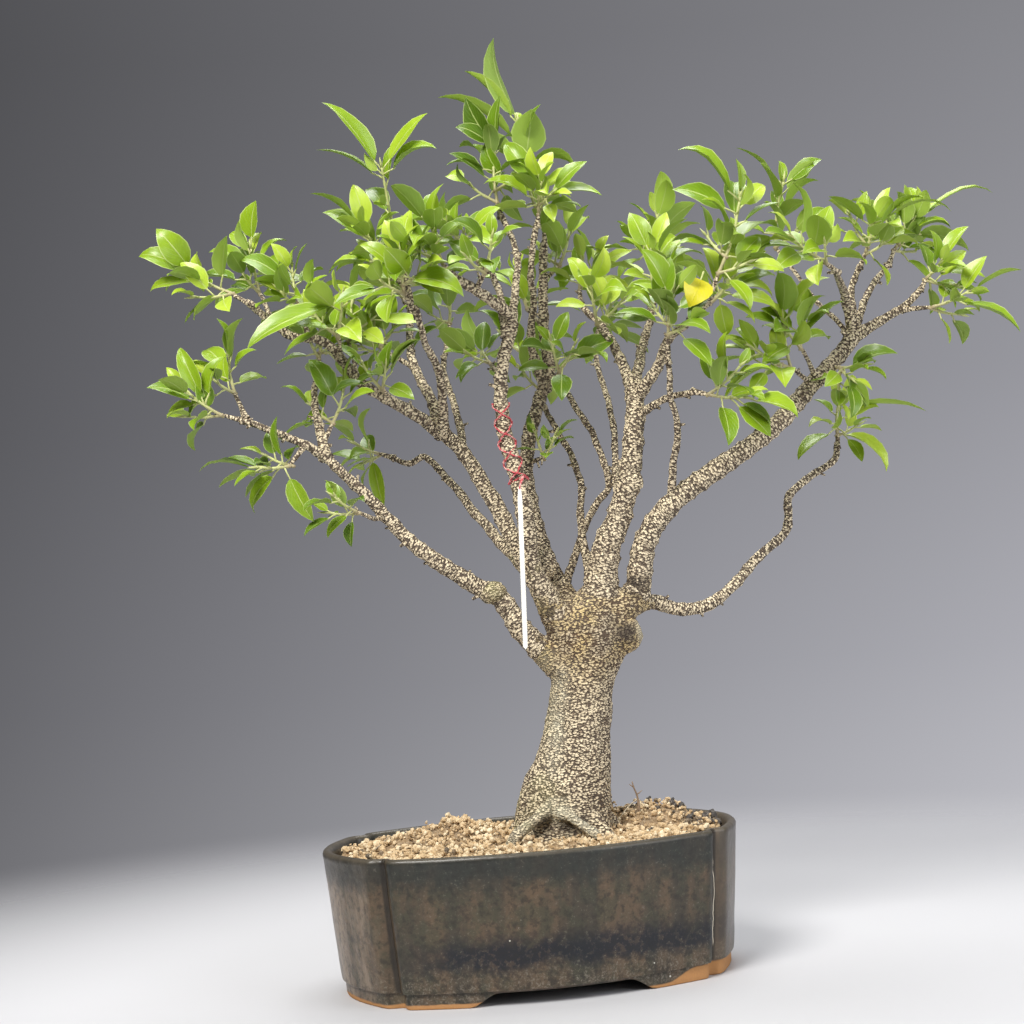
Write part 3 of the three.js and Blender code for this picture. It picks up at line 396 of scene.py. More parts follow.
class Look:
    """A material, or the room, with its shader, and one short way to add any node to it."""

    def __init__(self, owner, shader="Principled BSDF"):
        self.material = bpy.data.materials.new(owner) if isinstance(owner, str) else owner
        self.material.use_nodes = True
        self.tree = self.material.node_tree
        self.shader = self.tree.nodes[shader]

    def plug(self, socket, value):
        if isinstance(value, Wire):
            self.tree.links.new(value.socket, socket)
        elif isinstance(value, tuple) and len(value) < len(socket.default_value):
            socket.default_value = (*value, 1)
        else:
            socket.default_value = value

    def node(self, kind, settings=None, inputs=None, output=0):
        made = self.tree.nodes.new("ShaderNode" + kind)
        for key, value in (settings or {}).items():
            if key == "stops":
                self.set_stops(made.color_ramp, value)
            else:
                setattr(made, key, value)
        for key, value in (inputs or {}).items():
            self.plug(made.inputs[key], value)
        return Wire(self, made.outputs[output])

    def set_stops(self, ramp, stops):
        while len(ramp.elements) < len(stops):
            ramp.elements.new(1)
        for element, (place, colour) in zip(ramp.elements, stops):
            element.position = place
            element.color = (*colour, 1)

    def set(self, **values):
        for key, value in values.items():
            self.plug(self.shader.inputs[key.replace("_", " ")], value)

    def place(self, scale=(1, 1, 1)):
        """Object coordinates, in metres, stretched by scale."""
        spot = self.node("TexCoord", output="Object")
        return self.node("Mapping", {}, {"Vector": spot, "Scale": scale})

    def attribute(self, name, output="Fac"):
        return self.node("Attribute", {"attribute_name": name}, output=output)

    def axes(self, vector):
        split = self.node("SeparateXYZ", {}, {"Vector": vector}).socket.node
        return [Wire(self, split.outputs[i]) for i in range(3)]

    def noise(self, vector, scale, detail=3, roughness=0.55):
        inputs = {"Vector": vector, "Scale": scale, "Detail": detail, "Roughness": roughness}
        return self.node("TexNoise", {}, inputs)

    def cells(self, vector, scale):
        return self.node("TexVoronoi", {}, {"Vector": vector, "Scale": scale}, "Distance")

    def mix(self, factor, first, second):
        """From the first colour to the second. The node keeps its colours in sockets 6, 7 and 2."""
        return self.node("Mix", {"data_type": "RGBA"}, {0: factor, 6: first, 7: second}, 2)

    def ramp(self, value, *stops):
        return self.node("ValToRGB", {"stops": stops}, {"Fac": value})

    def bump(self, height, distance, strength=1.0, under=None):
        inputs = {"Height": height, "Distance": distance, "Strength": strength}
        return self.node("Bump", {}, {**inputs, "Normal": under} if under else inputs)

    def finish(self, colour, roughness, height, depth, strength):
        """The material of a plain finish: its colour, roughness and one bump."""
        bump = self.bump(height, depth, strength)
        self.set(Base_Color=colour, Roughness=roughness, Normal=bump)
        return self.material


def glaze_look():
    """Dark ash glaze in bands, with runs, mottling and specks, and bare clay under the feet."""
    look = Look("ash_glaze")
    spot = look.place()
    x, y, z = look.axes(spot)
    drift = look.noise(spot, 22, 4) - 0.5
    fine = look.noise(spot, 620, 4, 0.75)
    mottle = look.noise(spot, 210, 5, 0.7)
    runs = look.noise(look.place((1, 1, 0.12)), 60, 4)
    cloud = look.noise(spot, 75, 4, 0.65)
    height = z + drift * 0.022 + (cloud - 0.5) * 0.02
    body = look.mix(runs.above(0.35, 0.65), (0.098, 0.066, 0.040), (0.046, 0.038, 0.027))
    body = look.mix(cloud.above(0.42, 0.62) * 0.6, body, (0.040, 0.042, 0.026))
    lobe = x.below(-0.196, -0.184)
    body = look.mix(lobe * runs.above(0.34, 0.58) * 0.7, body, (0.29, 0.215, 0.15))
    under_rim = height.above(0.074, 0.090)
    body = look.mix(under_rim * 0.8, body, (0.018, 0.022, 0.020))
    belly = height.above(0.020, 0.030) * height.below(0.036, 0.052)
    belly = belly * (x + drift * 0.08).above(-0.19, -0.14)
    body = look.mix(belly * (0.95 - mottle.below(0.40, 0.50) * 0.35), body, (0.007, 0.009, 0.015))
    body = look.mix(mottle.above(0.46, 0.66) * 0.6, body, (0.015, 0.014, 0.012))
    frost = height.below(0.010, 0.032) * fine.below(0.40, 0.52)
    body = look.mix(frost * 0.5 * mottle.below(0.44, 0.60), body, (0.22, 0.195, 0.155))
    speck = fine.below(0.36, 0.46) * mottle.below(0.40, 0.52)
    body = look.mix(speck * 0.22, body, (0.26, 0.235, 0.19))
    along = x - z * 0.07 - CRACK_X * MM
    body = look.mix(along.above(-0.003, 0.002) * 0.35, body, (0.15, 0.115, 0.085))
    body = look.mix(z.above(0.0985, 0.1012) * 0.5, body, (0.115, 0.095, 0.066))
    groove = look.attribute("groove")
    rusty = groove.above(0.10, 0.5) * runs.above(0.35, 0.6)
    body = look.mix(rusty * 0.35, body, (0.19, 0.13, 0.075))
    # Painted shade: a near-black line down the middle of each groove, partly the glaze lying
    # thicker there and partly the shade that falls in the crease.
    body = look.mix(groove.above(0.62, 0.9) * 0.8, body, (0.012, 0.010, 0.008))
    star = look.cells(spot, 95).below(0.05, 0.075) * look.noise(spot, 31, 1).above(0.58, 0.62)
    body = look.mix(star * 0.9, body, (0.60, 0.58, 0.50))
    wander = look.noise(spot, 45, 3) - 0.5
    crack = (along + wander * 0.005).size().below(0.00012, 0.00035)
    crack = crack * y.below(-0.09, -0.08) * z.above(0.020, 0.024) * z.below(0.080, 0.084)
    body = look.mix(crack, body, (0.74, 0.66, 0.52))
    bare = (z - 0.0028 - x.above(0.0, 0.03) * 0.0072 - drift * 0.007).below(-0.0007, 0.0007)
    clay = look.mix(fine, (0.50, 0.26, 0.10), (0.33, 0.16, 0.065))
    look.set(Base_Color=look.mix(bare, body, clay))
    look.set(Roughness=0.24 + fine * 0.14 + frost * 0.22 + cloud * 0.12 + bare * 0.45)
    look.set(Coat_Weight=0.12 - bare * 0.12, Coat_Roughness=0.12, Specular_IOR_Level=0.32)
    uneven = look.bump(look.noise(spot, 130, 3), 0.0012, 0.5)
    look.set(Normal=look.bump(fine, 0.0003, 0.5, uneven))
    return look.material


# Attributes on the wood's skin, each from 0 to 1.
BARK_MARKS = ("damp", "rust", "pale", "scar", "dark")


def bark_look():
    """Grey-brown bark crowded with pale corky flecks, rusty and golden where it stays damp."""
    look = Look("flecked_bark")
    grain = look.attribute("grain", "Vector")
    lying = look.node("Mapping", {}, {"Vector": grain, "Scale": (1, 1, 1.7)})
    spot = look.place()
    warp = look.noise(lying, 240, 3)
    flecks = look.cells(lying, 430)
    patch = look.noise(spot, 34, 3)
    damp, rust, pale, scar, dark = [look.attribute(mark) for mark in BARK_MARKS]
    base = look.mix(patch.above(0.3, 0.7), (0.185, 0.128, 0.084), (0.35, 0.265, 0.18))
    stain = rust * look.noise(spot, 55, 3).above(0.42, 0.60)
    base = look.mix(stain * 0.7, base, (0.22, 0.105, 0.036))
    fleck = flecks.below(0.42, 0.60) * warp.above(0.27, 0.42)
    small = look.cells(lying, 780).below(0.26, 0.44) * warp.above(0.40, 0.54)
    cork = look.mix(rust * patch.above(0.35, 0.6), (0.90, 0.76, 0.52), (0.72, 0.54, 0.23))
    base = look.mix(fleck * 0.88, base, cork)
    base = look.mix(small * 0.6, base, cork)
    crevice = flecks.above(0.60, 0.75)
    base = look.mix(crevice * 0.8, base, (0.055, 0.038, 0.027))
    green = damp * look.noise(spot, 30, 2).above(0.40, 0.60)
    base = look.mix(green * 0.45, base, (0.52, 0.50, 0.22))
    base = look.mix(rust * patch.below(0.40, 0.62) * 0.35, base, (0.12, 0.07, 0.035))
    base = look.mix(pale * 0.6, base, (0.84, 0.80, 0.60))
    base = look.mix(dark * 0.85, base, (0.045, 0.031, 0.022))
    look.set(Base_Color=look.mix(scar, base, (0.74, 0.64, 0.44)))
    look.set(Roughness=0.8 - fleck * 0.15)
    relief = look.bump(fleck + small * 0.5 - crevice * 0.8, 0.0014, 1.0)
    look.set(Normal=look.bump(look.noise(lying, 700, 3, 0.7), 0.0003, 0.5, relief))
    return look.material


def leaf_look():
    """Waxy leaf: pale midrib and edge, faint side veins, and a green of its own for each leaf."""
    look = Look("waxy_leaf")
    u, v, _ = look.axes(look.node("UVMap", {"uv_map": "blade"}))
    under = look.attribute("under")
    blotch = look.noise(look.place(), 120, 3)
    green = look.ramp(
        look.attribute("tint") + (blotch - 0.5) * 0.25,
        (0.0, (0.060, 0.130, 0.005)),
        (0.35, (0.175, 0.310, 0.008)),
        (0.7, (0.360, 0.530, 0.018)),
        (1.0, (0.600, 0.750, 0.070)),
    )
    across = (u - 0.5).size()
    vein = ((v * 9 - across * 7).fraction() - 0.5).size().below(0.03, 0.12)
    green = look.mix(vein * 0.2, green, (0.38, 0.55, 0.12))
    rib = across.below(0.012, 0.035)
    green = look.mix(rib * 0.8, green, (0.60, 0.70, 0.24))
    green = look.mix(across.above(0.445, 0.485) * 0.8, green, (0.62, 0.72, 0.26))
    green = look.mix(under * 0.5, green, (0.34, 0.46, 0.11))
    look.set(Base_Color=look.mix(look.attribute("age"), green, (0.70, 0.62, 0.02)))
    look.set(Roughness=0.34 + under * 0.22 + blotch * 0.06)
    look.set(Coat_Weight=0.25 - under * 0.25, Coat_Roughness=0.2)
    ridge = look.bump(1 - rib * 0.8 - vein * 0.25, 0.0004, 0.5)
    look.set(Normal=look.bump(blotch, 0.0008, 0.25, ridge))
    glow = look.node("BsdfTranslucent", {}, {"Color": (0.56, 0.68, 0.04)})
    skin = Wire(look, look.shader.outputs[0])
    both = look.node("MixShader", {}, {0: 0.22, 1: skin, 2: glow})
    look.plug(look.tree.nodes["Material Output"].inputs["Surface"], both)
    return look.material


def crumb_look():
    """Loose clay crumbs, cream to gold, some of them dark."""
    look = Look("clay_crumbs")
    spot = look.place()
    dust = look.noise(spot, 900, 3, 0.7)
    colour = look.ramp(
        look.attribute("tint"),
        (0.0, (0.035, 0.025, 0.018)),
        (0.07, (0.10, 0.065, 0.04)),
        (0.12, (0.32, 0.20, 0.090)),
        (0.5, (0.60, 0.43, 0.235)),
        (0.97, (0.88, 0.77, 0.55)),
    )
    golden = look.noise(spot, 240, 2).above(0.45, 0.7)
    colour = look.mix(golden * 0.35, colour, (0.42, 0.26, 0.11))
    colour = look.mix(dust.above(0.35, 0.7) * 0.3, colour, (0.80, 0.68, 0.48))
    return look.finish(colour, 0.85 + dust * 0.15, dust, 0.0008, 0.7)


def stalk_look():
    """Green shoots and leaf stalks, browner where they are older."""
    look = Look("green_stalk")
    streak = look.noise(look.place(), 260, 2)
    colour = look.mix(streak, (0.42, 0.45, 0.16), (0.58, 0.60, 0.26))
    colour = look.mix(look.attribute("age"), colour, (0.34, 0.26, 0.16))
    return look.finish(colour, 0.45 + streak * 0.1, streak, 0.0003, 0.4)


def twine_look():
    look = Look("red_twine")
    fuzz = look.noise(look.place(), 1800, 2)
    red = look.mix(fuzz, (0.42, 0.020, 0.035), (0.62, 0.10, 0.12))
    red = look.mix(look.attribute("tint"), red, (0.66, 0.36, 0.33))
    return look.finish(red, 0.8 + fuzz * 0.15, fuzz, 0.0003, 0.6)


def strip_look():
    look = Look("white_plastic")
    spot = look.place()
    cloud = look.noise(spot, 60, 2)
    white = look.mix(cloud, (0.86, 0.85, 0.80), (0.76, 0.74, 0.66))
    return look.finish(white, 0.42 + cloud * 0.1, look.noise(spot, 500, 2), 0.0001, 0.3)


def screen_look():
    look = Look("black_mesh")
    grease = look.noise(look.place(), 300, 2)
    black = look.mix(grease, (0.015, 0.017, 0.015), (0.05, 0.055, 0.05))
    return look.finish(black, 0.5 + grease * 0.2, grease, 0.0002, 0.5)


def floor_look():
    """A pale floor that fades out behind and beside, into the grey of the room."""
    look = Look("pale_floor")
    spot = look.place()
    grey = look.mix(look.noise(spot, 3, 2), (0.56, 0.56, 0.575), (0.59, 0.59, 0.605))
    far = look.node("VectorMath", {"operation": "LENGTH"}, {0: look.place((1, 1, 0))}, "Value")
    look.set(Base_Color=grey, Roughness=0.6, Alpha=far.below(*FLOOR_FADE))
    return look.material


# ---- making meshes ----
def finished(bm, name, material, slot, nodes=(), smooth=True):
    """Turns a bmesh, in millimetres of the row's frame, into a piece that may replace CAD nodes."""
    bmesh.ops.scale(bm, vec=(MM, MM, MM), verts=bm.verts)
    for face in bm.faces:
        face.smooth = smooth
    mesh = bpy.data.meshes.new(name)
    bm.to_mesh(mesh)
    bm.free()
    mesh.materials.append(material)
    piece = bpy.data.objects.new(name, mesh)
    bpy.context.scene.collection.objects.link(piece)
    if slot:
        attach(piece, "root")
    if nodes:
        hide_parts(*nodes)
    return piece


def lerp(a, b, t):
    return a + (b - a) * t


def held(value, low=0, high=1):
    return min(max(value, low), high)


def hump(distance, spread, power=2):
    """1 in the middle, and smoothly down to 0 away from it."""
    return math.exp(-((distance / spread) ** power))


def faces_of(verts):
    """The faces round the verts."""
    return {face for vert in verts if vert.is_valid for face in vert.link_faces}


def outwards(bm):
    """Turns every face outwards."""
    bmesh.ops.recalc_face_normals(bm, faces=bm.faces)


def poured(bm, into):
    """Adds one bmesh to another and frees it."""
    mesh = bpy.data.meshes.new("poured")
    bm.to_mesh(mesh)
    bm.free()
    into.from_mesh(mesh)
    bpy.data.meshes.remove(mesh)


def smooth_curve(points, spacing):
    """Even places on a smooth curve through the points. A fourth number, if any, goes along."""
    points = [Vector(p) for p in points]
    padded = [2 * points[0] - points[1], *points, 2 * points[-1] - points[-2]]
    dense = []
    for a, b, c, d in zip(padded, padded[1:], padded[2:], padded[3:]):
        for i in range(12):
            t = i / 12
            bend = 2 * a - 5 * b + 4 * c - d + t * (3 * b - a - 3 * c + d)
            dense.append(b + 0.5 * t * (c - a + t * bend))
    dense.append(points[-1])
    run = [0.0]
    for a, b in zip(dense, dense[1:]):
        run.append(run[-1] + (b - a).xyz.length)
    count = max(3, round(run[-1] / spacing))
    spots = []
    at = 0
    for i in range(count + 1):
        wanted = run[-1] * i / count
        while at < len(run) - 2 and run[at + 1] < wanted:
            at += 1
        share = (wanted - run[at]) / max(run[at + 1] - run[at], 1e-9)
        spots.append(dense[at].lerp(dense[at + 1], min(share, 1)))
    return spots


def frames_along(spots):
    """A tangent and two sideways directions at each place, turning as little as they can."""
    last = len(spots) - 1
    ahead = [spots[min(i + 1, last)] - spots[max(i - 1, 0)] for i in range(last + 1)]
    tangents = [step.normalized() for step in ahead]
    side = tangents[0].orthogonal().normalized()
    frames = []
    for tangent in tangents:
        side = (side - tangent * side.dot(tangent)).normalized()
        frames.append((tangent, side, tangent.cross(side)))
    return frames


def add_tube(bm, spots, radius, sides, mark=None):
    """A closed tube along the places. radius(i, angle) sizes it, and mark(vert, i, angle, reach)
    writes on it."""
    steps = len(spots) - 1
    frames = frames_along(spots)
    made = bmesh.ops.create_grid(bm, x_segments=sides, y_segments=steps, size=0.5)["verts"]
    ends = []
    for vert in made:
        angle = 2 * math.pi * (vert.co.x + 0.5)
        i = round((vert.co.y + 0.5) * steps)
        _, side, other = frames[i]
        reach = radius(i, angle)
        if mark:
            mark(vert, i, angle, reach)
        vert.co = spots[i] + (side * math.cos(angle) + other * math.sin(angle)) * reach
        if i in (0, steps):
            ends.append(vert)
    bmesh.ops.remove_doubles(bm, verts=made, dist=MERGE)
    edges = {edge for vert in ends if vert.is_valid for edge in vert.link_edges}
    bmesh.ops.holes_fill(bm, edges=[edge for edge in edges if edge.is_boundary], sides=0)
    return [vert for vert in made if vert.is_valid]


def straight(vector, axis):
    """The part of the vector that is square to the axis, at length one."""
    return (vector - axis * vector.dot(axis)).normalized()


def lumps(spot, size, octaves=3):
    """Smooth noise from about -1 to 1 whose lumps are about size across."""
    return noise.fractal(Vector(spot) / size, 1.0, 2.0, octaves)


def loose(bm):
    """An object that holds the bmesh for a moment."""
    mesh = bpy.data.meshes.new("loose")
    bm.to_mesh(mesh)
    bm.free()
    piece = bpy.data.objects.new("loose", mesh)
    bpy.context.scene.collection.objects.link(piece)
    return piece


def discard(piece):
    mesh = piece.data
    bpy.data.objects.remove(piece)
    bpy.data.meshes.remove(mesh)


def changed(bm, kind, **settings):
    """The bmesh after one modifier."""
    piece = loose(bm)
    change = piece.modifiers.new("change", kind)
    for key, value in settings.items():
        setattr(change, key, value)
    bpy.context.view_layer.update()
    result = bmesh.new()
    result.from_mesh(piece.evaluated_get(bpy.context.evaluated_depsgraph_get()).data)
    discard(piece)
    return result


# ---- pot ----
CRACK_X = POT_CENTRE.x + 109
SPUN_REACH = 200
AROUND = 288
WALL_STEP = 1.8
ARCH_CUT = 0.94
GROOVE_EDGE = 5
SHARP_ANGLE = 0.7


def outline(u, inset):
    """A place on the pot's four-lobed outline, u from 0 to 1 round it, drawn in by inset."""
    gx, gy = GROOVE
    corners = [(-gx, -gy), (gx, -gy), (gx, gy), (-gx, gy)]
    side = int(u * 4) % 4
    along = u * 4 - int(u * 4)
    t = 0.5 - 0.5 * math.cos(math.pi * along)
    (ax, ay), (bx, by) = corners[side], corners[(side + 1) % 4]
    chord = math.hypot(bx - ax, by - ay)
    bulge = POT_LENGTH / 2 - gx if side % 2 else POT_WIDTH / 2 - gy
    out = bulge * math.sin(math.pi * t)
    drawn_in = inset + GROOVE_DEPTH * hump(min(t, 1 - t) * chord, GROOVE_SPREAD)
    x = lerp(ax, bx, t) + (by - ay) / chord * out
    y = lerp(ay, by, t) + (ax - bx) / chord * out
    return Vector((x * (1 - drawn_in / (POT_LENGTH / 2)), y * (1 - drawn_in / (POT_WIDTH / 2)), 0))


def spun(profile):
    """A ring spun from (inset, height) points, with a cap over each end of the profile."""
    bm = bmesh.new()
    verts = [bm.verts.new((SPUN_REACH - inset, 0, z)) for inset, z in profile]
    for a, b in zip(verts, verts[1:]):
        bm.edges.new((a, b))
    bmesh.ops.spin(
        bm,
        geom=[*verts, *bm.edges],
        cent=(0, 0, 0),
        axis=(0, 0, 1),
        angle=2 * math.pi,
        steps=AROUND,
        use_merge=True,
    )
    bmesh.ops.remove_doubles(bm, verts=bm.verts, dist=MERGE)
    bmesh.ops.holes_fill(bm, edges=[edge for edge in bm.edges if edge.is_boundary], sides=0)
    return bm


def lobed(bm):
    """Moves a spun ring onto the pot's outline."""
    for vert in bm.verts:
        u = (math.atan2(vert.co.y, vert.co.x) / (2 * math.pi) + 1 + 0.625) % 1
        inset = SPUN_REACH - math.hypot(vert.co.x, vert.co.y)
        vert.co.xy = outline(min(u, 0.999999), inset).xy


def arch_share(x):
    """How far the foot is cut away: 1 in the middle of the front and back, 0 at the two feet."""
    share = held((ARCH / 2 - abs(x)) / ARCH_SLOPE)
    return share * share * (3 - 2 * share)


def make_pot():
    floor_top = FOOT_HEIGHT + FLOOR
    foot_top = FOOT_HEIGHT - 0.6
    top = POT_HEIGHT
    wall = [
        (WALL_LEAN + 1.2, FOOT_HEIGHT + 1.2), (WALL_LEAN, FOOT_HEIGHT + 3.6),
        (WALL_LEAN * 0.55, top / 2), (1.3, top - 12), (0.5, top - 4.6), (0.5, top - 2.2),
        (1.7, top - 0.4), (3.8, top), (5.8, top - 0.7), (7.3, top - 3), (8.4, top - 9),
        (10.6, top * 0.7), (WALL_LEAN + WALL, floor_top + 5), (WALL_LEAN + WALL + 5, floor_top),
    ]
    ring_in = FOOT_INSET + FOOT_BAND
    foot = [
        (ring_in, foot_top), (ring_in, 5), (ring_in - 0.2, 0.8), (ring_in - 1, 0),
        (FOOT_INSET + 1.4, 0), (FOOT_INSET + 0.4, 0.5), (FOOT_INSET, 1.6), (FOOT_INSET - 0.1, 4),
        (FOOT_INSET - 0.2, 7), (FOOT_INSET - 0.3, foot_top), (FOOT_INSET - 0.5, FOOT_HEIGHT),
        (WALL_LEAN + 2, FOOT_HEIGHT + 0.4),
    ]
    outside = smooth_curve([(inset, z, 0) for inset, z in wall], WALL_STEP)
    bm = spun([*foot, *[(p.x, p.y) for p in outside]])
    lobed(bm)
    for vert in bm.verts:
        x, y, z = vert.co
        if z < foot_top:
            vert.co.z = foot_top - (foot_top - z) * (1 - ARCH_CUT * arch_share(x))
        sway = 0.5 * lumps((x, y, z), 40, 2) * min(z / 20, 1)
        vert.co += Vector((x, y, 0)).normalized() * sway
    outwards(bm)
    bm = pierced(bm)
    # groove: 1 along each of the four grooves and 0 away from them; the glaze uses it for rusty
    # runs and for painted shade in the grooves.
    groove = bm.verts.layers.float.new("groove")
    for vert in bm.verts:
        x, y, z = vert.co
        inset = WALL_LEAN * (1 - z / POT_HEIGHT) + GROOVE_DEPTH
        across = abs(x) - GROOVE[0] * (1 - 2 * inset / POT_LENGTH)
        deep = abs(y) - GROOVE[1] * (1 - 2 * inset / POT_WIDTH)
        vert[groove] = hump(Vector((across, deep)).length, GROOVE_EDGE)
    for edge in bm.edges:
        edge.smooth = edge.calc_face_angle(0) < SHARP_ANGLE
    bmesh.ops.translate(bm, vec=POT_CENTRE, verts=bm.verts)
    finished(bm, "glazed_pot", glaze_look(), "glaze", ["pot"])


def pierced(bm):
    """Cuts the two drain holes through the pot's floor."""
    holes = bmesh.new()
    for x in (-DRAIN_X, DRAIN_X):
        bmesh.ops.create_cone(
            holes,
            cap_ends=True,
            segments=40,
            radius1=DRAIN_RADIUS,
            radius2=DRAIN_RADIUS,
            depth=3 * FLOOR,
            matrix=Matrix.Translation((x, 0, FOOT_HEIGHT + FLOOR / 2)),
        )
    cutter = loose(holes)
    result = changed(bm, "BOOLEAN", operation="DIFFERENCE", object=cutter, solver="EXACT")
    discard(cutter)
    return result


# ---- soil ----
CRUMB_COVER = 2.2


def soil_height(x, y):
    """The top of the soil, heaped here and there and lumpy all over, but level along the wall."""
    total = SOIL_TOP
    for mx, my, height, spread in MOUNDS:
        total += height * math.exp(-((x - mx) ** 2 + (y - my) ** 2) / spread**2)
    edge = held(6 * (1.15 - math.hypot(x / (POT_LENGTH / 2), y / (POT_WIDTH / 2))))
    return total + edge * (7 * max(0, lumps((x, y, 0), 15, 2)) + 2.4 * lumps((x, y, 40), 6, 2))


def make_soil_bed(material):
    floor_top = FOOT_HEIGHT + FLOOR + 2
    edge = 11
    rings = [(edge + step, SOIL_TOP) for step in range(3, 186, 4)]
    inside = WALL_LEAN + WALL
    sides = [(inside + 5, floor_top), (inside + 1, floor_top + 6), (edge + 0.5, POT_HEIGHT * 0.7)]
    bm = spun([*sides, (edge, SOIL_TOP - 4), *rings])
    lobed(bm)
    tint = bm.faces.layers.float.new("tint")
    for vert in bm.verts:
        if vert.co.z > SOIL_TOP - 1:
            x, y, _ = vert.co
            vert.co.z = soil_height(x, y) - CRUMB_COVER
    for face in bm.faces:
        face[tint] = 0.095 + 0.02 * lumps(face.calc_center_median(), 6)
    outwards(bm)
    bmesh.ops.translate(bm, vec=POT_CENTRE, verts=bm.verts)
    finished(bm, "soil_bed", material, "soil", ["soil"])


CRUMBS = 8400
CRUMBS_AT_ONCE = 80
CRUMB_SIZES = (0.8, 1.0, 1.2, 1.4, 1.6, 1.9, 2.4)
STUMP_RADIUS = 26
# Dark places in the soil, from the pot's middle: X, Y, strength and spread.
HUMUS = [(126, 4, 1, 17), (92, 40, 0.5, 16), (-84, 40, 1, 9)]


def make_crumbs(material):
    """Thousands of loose crumbs that cover the bed, heaped as it is."""
    rng = random.Random(SEEDS["crumbs"])
    bm = bmesh.new()
    bm.faces.layers.float.new("tint")
    stump = TREE_FOOT - POT_CENTRE
    for _ in range(CRUMBS // CRUMBS_AT_ONCE):
        batch = bmesh.new()
        tint = batch.faces.layers.float.new("tint")
        for _ in range(CRUMBS_AT_ONCE):
            spot = outline(rng.random() * 0.99999, 12.5) * math.sqrt(rng.random())
            if math.hypot(spot.x - stump.x, spot.y - stump.y) < STUMP_RADIUS:
                continue
            size = rng.choice(CRUMB_SIZES) * rng.uniform(0.85, 1.15)
            spot.z = soil_height(spot.x, spot.y) + rng.uniform(-1.8, 1.2)
            add_crumb(batch, tint, rng, spot, size, crumb_tint(rng, spot))
        poured(batch, bm)
    bmesh.ops.translate(bm, vec=POT_CENTRE, verts=bm.verts)
    finished(bm, "clay_crumbs", material, "soil", smooth=False)


def crumb_tint(rng, spot):
    """Mostly cream and gold; darker in the humus at the right and in a patch at the left back."""
    humus = 0
    for x, y, share, spread in HUMUS:
        humus += share * math.exp(-((spot.x - x) ** 2 + (spot.y - y) ** 2) / spread**2)
    if rng.random() < 0.03 + 0.65 * humus:
        return rng.uniform(0.0, 0.09)
    return held(rng.gauss(0.5, 0.2) + 0.3 * lumps(spot, 16, 2), 0.11)


def add_crumb(bm, tint, rng, spot, size, shade):
    verts = bmesh.ops.create_icosphere(bm, subdivisions=1, radius=size)["verts"]
    stretch = Vector((rng.uniform(0.8, 1.25), rng.uniform(0.7, 1.1), rng.uniform(0.6, 1.0)))
    turned = rng.uniform(0, 6.28)
    turn = Matrix.Rotation(turned, 3, Vector([rng.gauss(0, 1) for _ in range(3)]))
    for vert in verts:
        vert.co = spot + turn @ (vert.co * stretch * rng.uniform(0.84, 1.16))
    for face in faces_of(verts):
        face[tint] = shade


# Litter on the soil, its places from the pot's middle. STONES: middle of a heap, its spread, how
# many stones and their size. TWIGS: places along it, thickness and shade.
STONES = [
    ((130, -14), 13, 16, 3.6), ((118, 20), 15, 10, 2.6),
    ((-86, 42), 8, 9, 3.2), ((92, 38), 10, 7, 2.4),
]
TWIGS = [
    (((66, -58), (72, -50), (79, -40), (83, -30)), 1.0, 0.05),
    (((70, 12), (80, 22), (90, 34), (98, 46)), 0.5, 0.9),
    (((-70, 30), (-62, 38), (-52, 41)), 0.9, 0.1),
    (((104, -30), (112, -26), (121, -28)), 0.6, 0.3),
    (((-112, 6), (-104, 16), (-100, 25)), 0.5, 0.7),
]


def make_litter():
    """Dark stones at the pot's ends, and bits of twig and dry root."""
    rng = random.Random(SEEDS["litter"])
    bm = bmesh.new()
    tint = bm.faces.layers.float.new("tint")
    for (x, y), spread, count, size in STONES:
        for _ in range(count):
            spot = Vector((x + rng.gauss(0, spread / 2), y + rng.gauss(0, spread / 2), 0))
            if math.hypot(spot.x / (POT_LENGTH / 2 - 12), spot.y / (POT_WIDTH / 2 - 12)) > 1:
                continue
            spot.z = soil_height(spot.x, spot.y) + rng.uniform(-0.5, 1.8)
            add_crumb(bm, tint, rng, spot, size * rng.uniform(0.6, 1.2), rng.uniform(0, 0.35))
    for points, size, shade in TWIGS:
        run = smooth_curve([(x, y, soil_height(x, y) + 2.2) for x, y in points], 1.5)
        ends = len(run) - 1
        made = add_tube(bm, run, lambda i, angle: size * (1.15 - 0.5 * i / ends), 6)
        for face in faces_of(made):
            face[tint] = shade
    outwards(bm)
    bmesh.ops.translate(bm, vec=POT_CENTRE, verts=bm.verts)
    finished(bm, "litter", litter_look(), "soil", smooth=False)


def litter_look():
    look = Look("litter")
    spot = look.place()
    grit = look.noise(spot, 600, 3, 0.7)
    colour = look.ramp(
        look.attribute("tint"),
        (0.0, (0.02, 0.018, 0.017)),
        (0.4, (0.11, 0.09, 0.075)),
        (1.0, (0.70, 0.58, 0.40)),
    )
    colour = look.mix(grit.above(0.5, 0.7) * 0.4, colour, (0.42, 0.38, 0.32))
    return look.finish(colour, 0.55 + grit * 0.3, grit, 0.0005, 0.6)


# ---- wood ----
THICK = 5.0
STUB = 66
STUB_STEP = 3
STUB_TOP = 200
VOXEL = 1.5
SMOOTHINGS = 8
CROWN_TOP = (35, 0, 178, 8)
NUB = Vector((-2, -9, 128))
TWIG_RADII = (2.2, 1.3)
LIMB_STEP = 2.6
SPUR_CHANCE = 0.35


def in_tree(point):
    return TREE @ Vector(point[:3])


def limb_run(limb, spacing):
    """Places along a limb in the row's frame, and its radius at each."""
    foot, end, points = limb
    spots = [in_tree(p) for p in smooth_curve(points, spacing)]
    last = len(spots) - 1
    return spots, [lerp(foot, end, (i / last) ** LIMB_TAPER) for i in range(last + 1)]


# Dark knots and old wounds on the crown: place and size.
KNOTS = [
    ((33, -26, 188), 7), ((66, -12, 176), 10), ((57, -19, 143), 9),
    ((30, -30, 160), 5), ((4, -24, 160), 6), ((20, -22, 172), 5),
    ((-12, -37, 10), 8), ((4, -33, 10), 8), ((14, -34, 10), 6),
]


